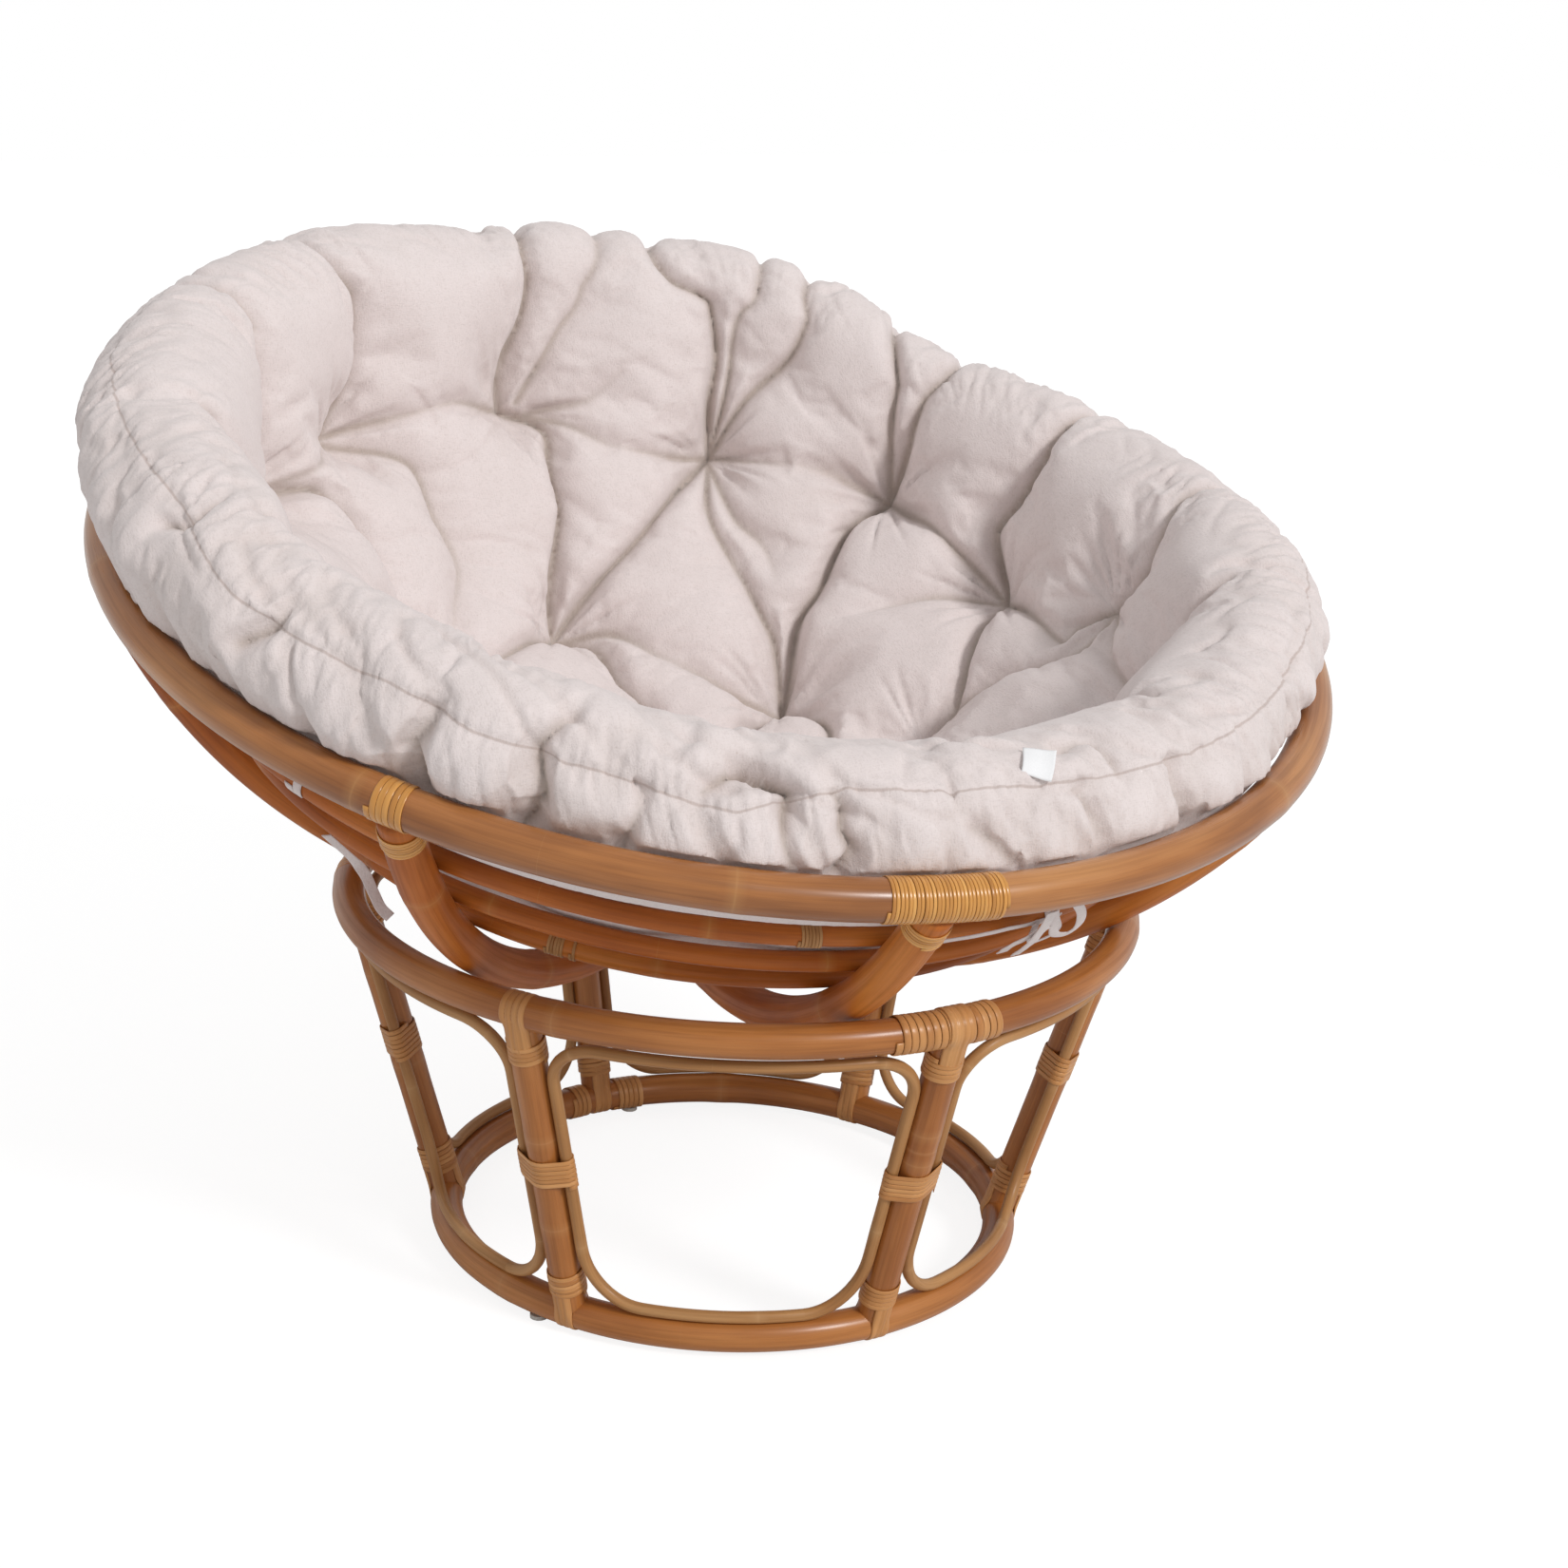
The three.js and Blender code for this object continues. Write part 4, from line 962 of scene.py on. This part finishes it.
def all_creases():
    creases = list(LIP_CREASES)
    for depths, width, line in SEAT_CREASES:
        # A crease that climbs the back goes on over the top of the lip
        if 0.45 < line[-1][1] < 1.05:
            line = [*line, (line[-1][0], 0.38)]
            depths = (depths[0], depths[1], 0.6 * depths[1])
        creases.append((depths, width, line))
    draw = random.Random(4)
    for turn, way in OUTER_TUFTS[6:13]:
        lean = draw.uniform(-5, 5)
        creases.append(((20, 13, 5), 6, [(turn, way), (turn + lean / 2, 1.08), (turn + lean, 0.8)]))
        inner = min(INNER_TUFTS, key=lambda tuft: abs(tuft[0] - turn))
        creases.append(((22, 14, 22), 7, [(turn, way), ((turn + inner[0]) / 2 + lean, 1.38), inner]))
    for tuft, after in zip(OUTER_TUFTS[5:13], OUTER_TUFTS[6:]):
        between = ((tuft[0] + after[0]) / 2, 1.22)
        creases.append(((14, draw.uniform(4, 9), 14), 8, [tuft, between, after]))
    for turn, way in INNER_TUFTS[2:]:
        creases.append(((22, 14, 18), 7, [(turn, way), (turn + draw.uniform(-12, 12), 1.8), (turn, 2.0)]))
    return [(np.array(depths) / 1000, width / 1000, smooth_line(line)) for depths, width, line in creases]


def off_line(points, line, piece):
    """How far each point is from one piece of a line, and the place of the nearest point along the line."""
    run = line[piece + 1] - line[piece]
    offset = points - line[piece]
    part = np.clip((offset * run).sum(1) / np.maximum((run * run).sum(1), 1e-12), 0, 1)
    return np.linalg.norm(offset - part[:, None] * run, axis=1), piece + part


def crease_field(points, creases, sharpness=1.0, core=0.005):
    """How far the nearest crease pulls each point in, and how close to a crease's bottom it is."""
    pull, close = np.zeros(len(points)), np.zeros(len(points))
    for depths, width, line in creases:
        reach = 4 * width + 0.012
        inside = np.all((points > line.min(0) - reach) & (points < line.max(0) + reach), axis=1)
        chosen = np.flatnonzero(inside)
        if not len(chosen):
            continue
        near = np.linalg.norm(points[chosen, None] - line[None], axis=2).argmin(1)
        gap, place = off_line(points[chosen], line, np.maximum(near - 1, 0))
        gap_after, place_after = off_line(points[chosen], line, np.minimum(near, len(line) - 2))
        place = np.where(gap_after < gap, place_after, place)
        gap = np.minimum(gap, gap_after)
        depth = np.interp(place / (len(line) - 1), (0, 0.5, 1), depths)
        width = width / sharpness
        here = depth * (0.6 * np.exp(-gap / width) + 0.4 * np.exp(-((gap / (3 * width)) ** 2)))
        pull[chosen] = np.maximum(pull[chosen], here)
        close[chosen] = np.maximum(close[chosen], groove(gap, core) * np.clip(depth / 0.014, 0, 1))
    return pull, close


def nearest_tufts(points):
    """How far the nearest tuft is from each point, where it is and which one it is."""
    spots = skin(*np.array(TUFTS, float).T)
    gaps = np.linalg.norm(points[:, None] - spots[None], axis=2)
    nearest = gaps.argmin(1)
    return gaps.min(1), spots[nearest], nearest


def noise_of(*axes):
    return np.array([noise.noise(place) for place in np.stack(axes, axis=1).tolist()])


def ripple(turn, way, along, lean, across, seed):
    """Smooth noise on the cover: along and across say how quickly it changes with turn and way."""
    return noise_of(turn * along + way * lean, way * across, way * 0 + seed)


def read_points(mesh):
    flat = np.empty(len(mesh.vertices) * 3)
    mesh.vertices.foreach_get("co", flat)
    place = np.array(BOWL.inverted())
    return flat.reshape(-1, 3) @ place[:3, :3].T + place[:3, 3]


def write_points(mesh, points):
    place = np.array(BOWL)
    mesh.vertices.foreach_set("co", (points @ place[:3, :3].T + place[:3, 3]).ravel())
    mesh.update()


def read_normals(mesh):
    flat = np.empty(len(mesh.vertices) * 3)
    mesh.vertex_normals.foreach_get("vector", flat)
    return flat.reshape(-1, 3) @ np.array(BOWL.inverted())[:3, :3].T


def build_cushion():
    bm = bmesh.new()
    bmesh.ops.create_grid(bm, x_segments=560, y_segments=200, size=0.5)
    flat = np.array([vert.co for vert in bm.verts])
    turn = (flat[:, 0] + 0.5) * 360
    way = np.interp(flat[:, 1] + 0.5, (0, 0.44, 0.62, 1), (-1, 0, 1, 2))
    for vert, place in zip(bm.verts, skin(turn, way)):
        vert.co = BOWL @ Vector(place)
    bmesh.ops.remove_doubles(bm, verts=bm.verts, dist=1e-5)
    bmesh.ops.recalc_face_normals(bm, faces=bm.faces)
    cushion = add_piece("cushion_cover", bm, canvas, "bowl", "cushion_cloth", "cushion")

    creases = all_creases()
    tuft_cover(cushion, creases)
    remesh_cover(cushion)
    puff_up(cushion, creases)
    subdivide_cover(cushion)
    dress_cover(cushion, creases)


def tuft_cover(cushion, creases):
    """Draws the slack cover in at the tufts and along the creases between them."""
    mesh = cushion.data
    points, normals = read_points(mesh), read_normals(mesh)
    turn, way = place_on_cover(points)
    rest = skin(turn, way)
    broad = np.exp(-2 * (nearest_tufts(rest)[0] / TUFT_SPREAD) ** 2)
    pull, _ = crease_field(rest, creases)
    # The cover is drawn in less round a turn of -16 degrees
    flatter = 1 - 0.6 * groove(turn + 16, 17)
    depth = (TUFT_DEPTH * broad + pull * (1 - 0.4 * broad)) * flatter
    rise = rise_of(points)
    spots = [(turn_at, UNDER_TUFT_RISES["outer"]) for turn_at, _ in OUTER_TUFTS]
    spots += [(turn_at, UNDER_TUFT_RISES["inner"]) for turn_at, _ in INNER_TUFTS] + [(0, 0)]
    under = np.zeros(len(points))
    for turn_at, rise_at in spots:
        x, z = polar(CUSHION_SPHERE, np.array([rise_at]))
        spot = spun(x, z, turn_at)
        gap = np.linalg.norm(points - spot, axis=1)
        under = np.maximum(under, UNDER_TUFT_DEPTH * np.exp(-2 * (gap / UNDER_TUFT_SPREAD) ** 2))
    depth = np.where(way > -0.1, depth, np.where(rise < 62, under, 0))
    write_points(mesh, points - normals * depth[:, None])


def keep_shape_of(piece):
    """The piece's mesh becomes what its modifiers show, and they go."""
    depsgraph = bpy.context.evaluated_depsgraph_get()
    shown = bpy.data.meshes.new_from_object(piece.evaluated_get(depsgraph))
    piece.modifiers.clear()
    piece.data = shown


def remesh_cover(cushion):
    remesh = cushion.modifiers.new("voxels", "REMESH")
    remesh.mode = "VOXEL"
    remesh.voxel_size = COVER_VOXEL
    keep_shape_of(cushion)
    cushion.data.materials.clear()
    cushion.data.materials.append(canvas)
    bm = bmesh.new()
    bm.from_mesh(cushion.data)
    bmesh.ops.smooth_vert(bm, verts=bm.verts, factor=0.5, use_axis_x=True, use_axis_y=True, use_axis_z=True)
    bm.to_mesh(cushion.data)
    bm.free()


def subdivide_cover(cushion):
    smooth = cushion.modifiers.new("smooth", "SUBSURF")
    smooth.levels = smooth.render_levels = 1
    keep_shape_of(cushion)
    cushion.data.polygons.foreach_set("use_smooth", [True] * len(cushion.data.polygons))


def puff_up(cushion, creases):
    """Fills the cover: cloth under pressure, held at tufts and creases and where it lies in the bowl."""
    points = read_points(cushion.data)
    turn, way = place_on_cover(points)
    rest = skin(turn, way)
    _, close = crease_field(rest, creases)
    from_tuft = nearest_tufts(rest)[0]
    hold = np.maximum(close, np.clip(1.8 - from_tuft / 0.008, 0, 1))
    hold = np.where(way < -UNDER_END, 1, np.where(way > 0, hold, 0.9))
    pins = cushion.vertex_groups.new(name="pins")
    for i in np.flatnonzero(hold > 0.02).tolist():
        pins.add([i], float(hold[i]), "REPLACE")
    cloth = cushion.modifiers.new("cloth", "CLOTH")
    settings = {
        "quality": 4,
        "mass": 0.25,
        "tension_stiffness": 15,
        "compression_stiffness": 5,
        "shear_stiffness": 5,
        "bending_stiffness": 0.1,
        "use_pressure": True,
        "uniform_pressure_force": 4.0,
        "shrink_min": -0.05,
        "vertex_group_mass": "pins",
        "pin_stiffness": 1.0,
    }
    for key, value in settings.items():
        setattr(cloth.settings, key, value)
    cloth.settings.effector_weights.gravity = 0
    cloth.collision_settings.use_collision = False
    cloth.collision_settings.use_self_collision = False
    cloth.point_cache.frame_start = 1
    cloth.point_cache.frame_end = PUFF_FRAMES
    for frame_number in range(1, PUFF_FRAMES + 1):
        bpy.context.scene.frame_set(frame_number)
    depsgraph = bpy.context.evaluated_depsgraph_get()
    moved = read_points(cushion.evaluated_get(depsgraph).data)
    cushion.modifiers.remove(cloth)
    cushion.vertex_groups.clear()
    bpy.context.scene.frame_set(1)
    steps = moved - points
    far = np.linalg.norm(steps, axis=1)
    steps *= np.minimum(1, PUFF_CAP / np.maximum(far, 1e-9))[:, None]
    write_points(cushion.data, points + steps)
    soften(cushion.data, np.maximum(close, np.clip(1.6 - from_tuft / 0.012, 0, 1)), 2)


def soften(mesh, share, times):
    """Evens out the cover where share is high, as at the held creases."""
    edges = np.empty(len(mesh.edges) * 2, int)
    mesh.edges.foreach_get("vertices", edges)
    a, b = edges.reshape(-1, 2).T
    points = read_points(mesh)
    count = np.bincount(a, minlength=len(points)) + np.bincount(b, minlength=len(points))
    for _ in range(times):
        around = np.empty_like(points)
        for k in range(3):
            total = np.bincount(a, points[b, k], len(points)) + np.bincount(b, points[a, k], len(points))
            around[:, k] = total
        points += (around / count[:, None] - points) * (0.6 * share)[:, None]
    write_points(mesh, points)


def lip_wrinkles(turn, way, on_lip):
    """Fine wrinkles run over the lip, most of all at both sides."""
    sides = 0.45 + 0.55 * np.abs(np.cos(np.radians(turn - 5)))
    lean = turn + 7 * way + 2.5 * ripple(turn, way, 0.05, 0, 2, 0)
    fine = ripple(lean, way, 0.42, 0, 2.2, 3)
    finer = ripple(lean, way, 0.95, 0, 3.5, 7)
    wrinkle = WRINKLE_DEPTH * groove(fine, 0.12) + FINER_WRINKLE_DEPTH * groove(finer, 0.15)
    fade = np.clip(0.5 + 1.3 * ripple(turn, way, 0.06, 0, 2.5, 11), 0, 1)
    return wrinkle * on_lip * sides * fade


def tuft_folds(rest, way):
    """Short folds fan out from each tuft."""
    gap, spots, nearest = nearest_tufts(rest)
    offset = rest - spots
    side = np.cross(spots, (0, 0, 1.0)) + (1e-6, 0, 0)
    side /= np.linalg.norm(side, axis=1)[:, None]
    up = np.cross(side, spots)
    up /= np.linalg.norm(up, axis=1)[:, None]
    around = np.arctan2((offset * side).sum(1), (offset * up).sum(1))
    fan = noise_of(np.cos(around) * 1.9, np.sin(around) * 1.9, nearest * 5.0)
    ring = groove(gap - TUFT_FOLD_REACH, 0.028)
    return TUFT_FOLD_DEPTH * groove(fan, 0.12) * ring * (way > 0.9)


def rumples(rest, way):
    """Long soft rumples lie on the pillows."""
    return RUMPLE_DEPTH * noise_of(*(rest.T * 14)) * step_over((way - 1.0) / 0.15)


def seam_gathers(turn, way, from_seam, front):
    """The seam is a fine groove with a low ridge beside it and gathers along it."""
    on_seam = (way > 0) & (way < 1)
    uneven = np.clip(0.6 + 1.2 * ripple(turn, way, 0.09, 0, 0, 17), 0, 1)
    line = on_seam * uneven * SEAM_DEPTH * groove(from_seam, 0.0026)
    ridge = on_seam * uneven * SEAM_RIDGE * groove(from_seam - 0.006, 0.004)
    gather = groove(ripple(turn, way, 1.1, 0, 4, 20), 0.15)
    return line - ridge + on_seam * front * GATHER_DEPTH * gather * groove(from_seam, 0.016)


def front_folds(turn, way, front):
    """Upright gathers low on the lip, and broad folds that lean over its top."""
    low = front * step_over((0.42 - way) / 0.3) * step_over((way + 0.25) / 0.25)
    tall = ripple(turn, way, 0.11, 0.9, 0.9, 30)
    taller = ripple(turn, way, 0.24, -1, 1.2, 36)
    upright = UPRIGHT_DEPTH * groove(tall, 0.13) + FINER_UPRIGHT_DEPTH * groove(taller, 0.14)
    over = front * step_over((way - 0.15) / 0.2) * step_over((1.0 - way) / 0.3)
    leaning = FOLD_DEPTH * groove(ripple(turn, way, 0.13, 2.2, 2.6, 44), 0.13)
    return low * (upright - UPRIGHT_SWELL * tall) + over * leaning


def dress_cover(cushion, creases):
    """Wrinkles, folds, the seam, sharp creases, painted shade in the folds, and room for the rim and the
    hoops.
    """
    mesh = cushion.data
    points, normals = read_points(mesh), read_normals(mesh)
    turn, way = place_on_cover(points)
    rest = skin(turn, way)
    sharp, close = crease_field(rest, creases, sharpness=2.0, core=0.0034)
    on_lip = step_over((way + 0.12) / 0.15) * step_over((1.05 - way) / 0.4)
    front = 0.35 + 0.65 * step_over((np.cos(np.radians(turn - 250)) + 0.2) / 0.8)
    from_seam = (way - np.interp(turn % 360, *zip(*SEAM))) * math.pi * CUSHION_THICKNESS / 2
    depth = lip_wrinkles(turn, way, on_lip) + tuft_folds(rest, way) + rumples(rest, way)
    depth += seam_gathers(turn, way, from_seam, front) + front_folds(turn, way, front)
    # Painted shade: the deeper a wrinkle or fold, the more the cloth's colour is darkened there
    fold_shade = 0.26 * np.clip(depth / 0.010, 0, 1)
    depth = np.where(way < -UNDER_END, 0, depth)
    # The lip sags over the rim, and the creases go in straight
    sag = LIP_SAG * step_over((way + 0.30) / 0.25) * step_over((0.30 - way) / 0.3)
    straight = (0.75 + 0.25 * on_lip) * sharp * (way > -0.1) - sag
    points = points - normals * depth[:, None] - skin_normals(turn, way) * straight[:, None]
    write_points(mesh, keep_clear(points))
    # Painted shade is strongest at crease bottoms and along the sharp creases
    fold_shade_share = np.clip(np.maximum(fold_shade, close) + 0.14 * np.clip(sharp / 0.012, 0, 1), 0, 1)
    values = {"seam": 1 + np.clip(from_seam, -0.05, 0.05), "fold_shade": fold_shade_share * (way > -UNDER_END)}
    for name, value in values.items():
        mesh.attributes.new(name, "FLOAT", "POINT").data.foreach_set("value", value)


def keep_clear(points):
    """Moves what swelled too far back inside the hoops and off the rim."""
    turn = np.degrees(np.arctan2(points[:, 1], points[:, 0]))
    x, z = np.hypot(points[:, 0], points[:, 1]), points[:, 2]
    rise = rise_of(points)
    flare = CUSHION_SPHERE + 0.008 * np.maximum(0, rise - UPPER_HOOP_RISE - 1.5)
    most = np.where(rise < RIM_RISE, np.minimum(flare, WITHIN_RIBS), 1)
    shrink = np.minimum(1, most / np.hypot(x, z))
    away_x, away_z = x * shrink - RIM_RADIUS, z * shrink + RIM_DROP
    push = np.maximum(1, RIM_ROOM / np.maximum(np.hypot(away_x, away_z), 1e-6))
    return spun(RIM_RADIUS + away_x * push, away_z * push - RIM_DROP, turn)


def build_label():
    """The blank label lies on the finished cover, and its right and top edges curl up a little."""
    bm = bmesh.new()
    bm.from_mesh(bpy.data.objects["cushion_cover"].data)
    cover = BVHTree.FromBMesh(bm)
    bm.free()
    middle, side, up = (BOWL.to_3x3() @ Vector(v) for v in LABEL_FRAME)
    middle += BOWL.translation
    side.normalize()
    up = (up - side * up.dot(side)).normalized()
    out = side.cross(up)
    bm = bmesh.new()
    bmesh.ops.create_grid(bm, x_segments=16, y_segments=16, size=1)
    grid = np.array([vert.co[:2] for vert in bm.verts])
    spots = [middle + side * (a * LABEL_SIZE[0] / 2) + up * (b * LABEL_SIZE[1] / 2) for a, b in grid]
    above = 0.04
    heights = np.array([above - (cover.ray_cast(spot + out * above, -out)[3] or above) for spot in spots])
    a, b = grid.T
    terms = np.stack((a * 0 + 1, a, b, a * a, a * b, b * b), axis=1)
    smooth = terms @ np.linalg.lstsq(terms, heights, rcond=None)[0]
    smooth += np.percentile(heights - smooth, 90) + 0.0008
    smooth += 0.0035 * np.clip(a, 0, 1) ** 2 + 0.0025 * np.clip(b, 0, 1) ** 3
    for vert, spot, height in zip(bm.verts, spots, smooth):
        vert.co = spot + out * float(height)
    bmesh.ops.recalc_face_normals(bm, faces=bm.faces)
    bmesh.ops.solidify(bm, geom=bm.faces[:], thickness=0.0004)
    bmesh.ops.recalc_face_normals(bm, faces=bm.faces)
    add_piece("blank_label", bm, label_cloth, "bowl", "label", "cushion_label")


# Stage
def build_stage():
    bm = bmesh.new()
    bmesh.ops.create_grid(bm, x_segments=1, y_segments=1, size=9)
    mesh = bpy.data.meshes.new("floor")
    bm.to_mesh(mesh)
    bm.free()
    floor = add_object("floor", mesh)
    material, tree = new_material("white floor")
    diffuse = add_node(tree, "ShaderNodeBsdfDiffuse", {"Color": (0.8, 0.8, 0.8, 1)})
    dim = add_node(tree, "ShaderNodeBsdfDiffuse", {"Color": (0.25, 0.25, 0.25, 1)})
    glow = add_node(tree, "ShaderNodeEmission", {"Color": (1, 1, 1, 1), "Strength": 0.86})
    both = add_node(tree, "ShaderNodeAddShader", {0: dim.outputs[0], 1: glow.outputs[0]})
    seen = add_node(tree, "ShaderNodeLightPath").outputs["Is Camera Ray"]
    choice = add_node(tree, "ShaderNodeMixShader", {0: seen, 1: diffuse.outputs[0], 2: both.outputs[0]})
    add_node(tree, "ShaderNodeOutputMaterial", {"Surface": choice.outputs[0]})
    mesh.materials.append(material)

    world = bpy.data.worlds.new("studio")
    bpy.context.scene.world = world
    world.use_nodes = True
    tree = world.node_tree
    tree.nodes.clear()
    seen = add_node(tree, "ShaderNodeLightPath").outputs["Is Camera Ray"]
    strength = maths(tree, "MAXIMUM", seen, SKY_STRENGTH)
    light = add_node(tree, "ShaderNodeBackground", {"Color": (1, 1, 1, 1), "Strength": strength})
    add_node(tree, "ShaderNodeOutputWorld", {"Surface": light.outputs[0]})

    lamp = bpy.data.lights.new("key", "SUN")
    lamp.angle = math.radians(SUN_SPREAD)
    lamp.energy = SUN_STRENGTH
    sun = add_object("key", lamp)
    sun.location = SUN_FROM * 3
    sun.rotation_euler = (-SUN_FROM).to_track_quat("-Z", "Y").to_euler()
    bpy.context.scene.view_settings.view_transform = "Standard"


def paint_cad_nodes():
    for name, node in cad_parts.items():
        if name.startswith("stand_glide"):
            material = glide_plastic
        elif name == "crossing_screw":
            material = screw_steel
        else:
            continue
        node.data.materials.clear()
        node.data.materials.append(material)


build_stage()
paint_cad_nodes()
build_stand()
build_bowl_frame()
build_stand_bindings()
build_bowl_bindings()
build_ties()
build_cushion()
build_label()
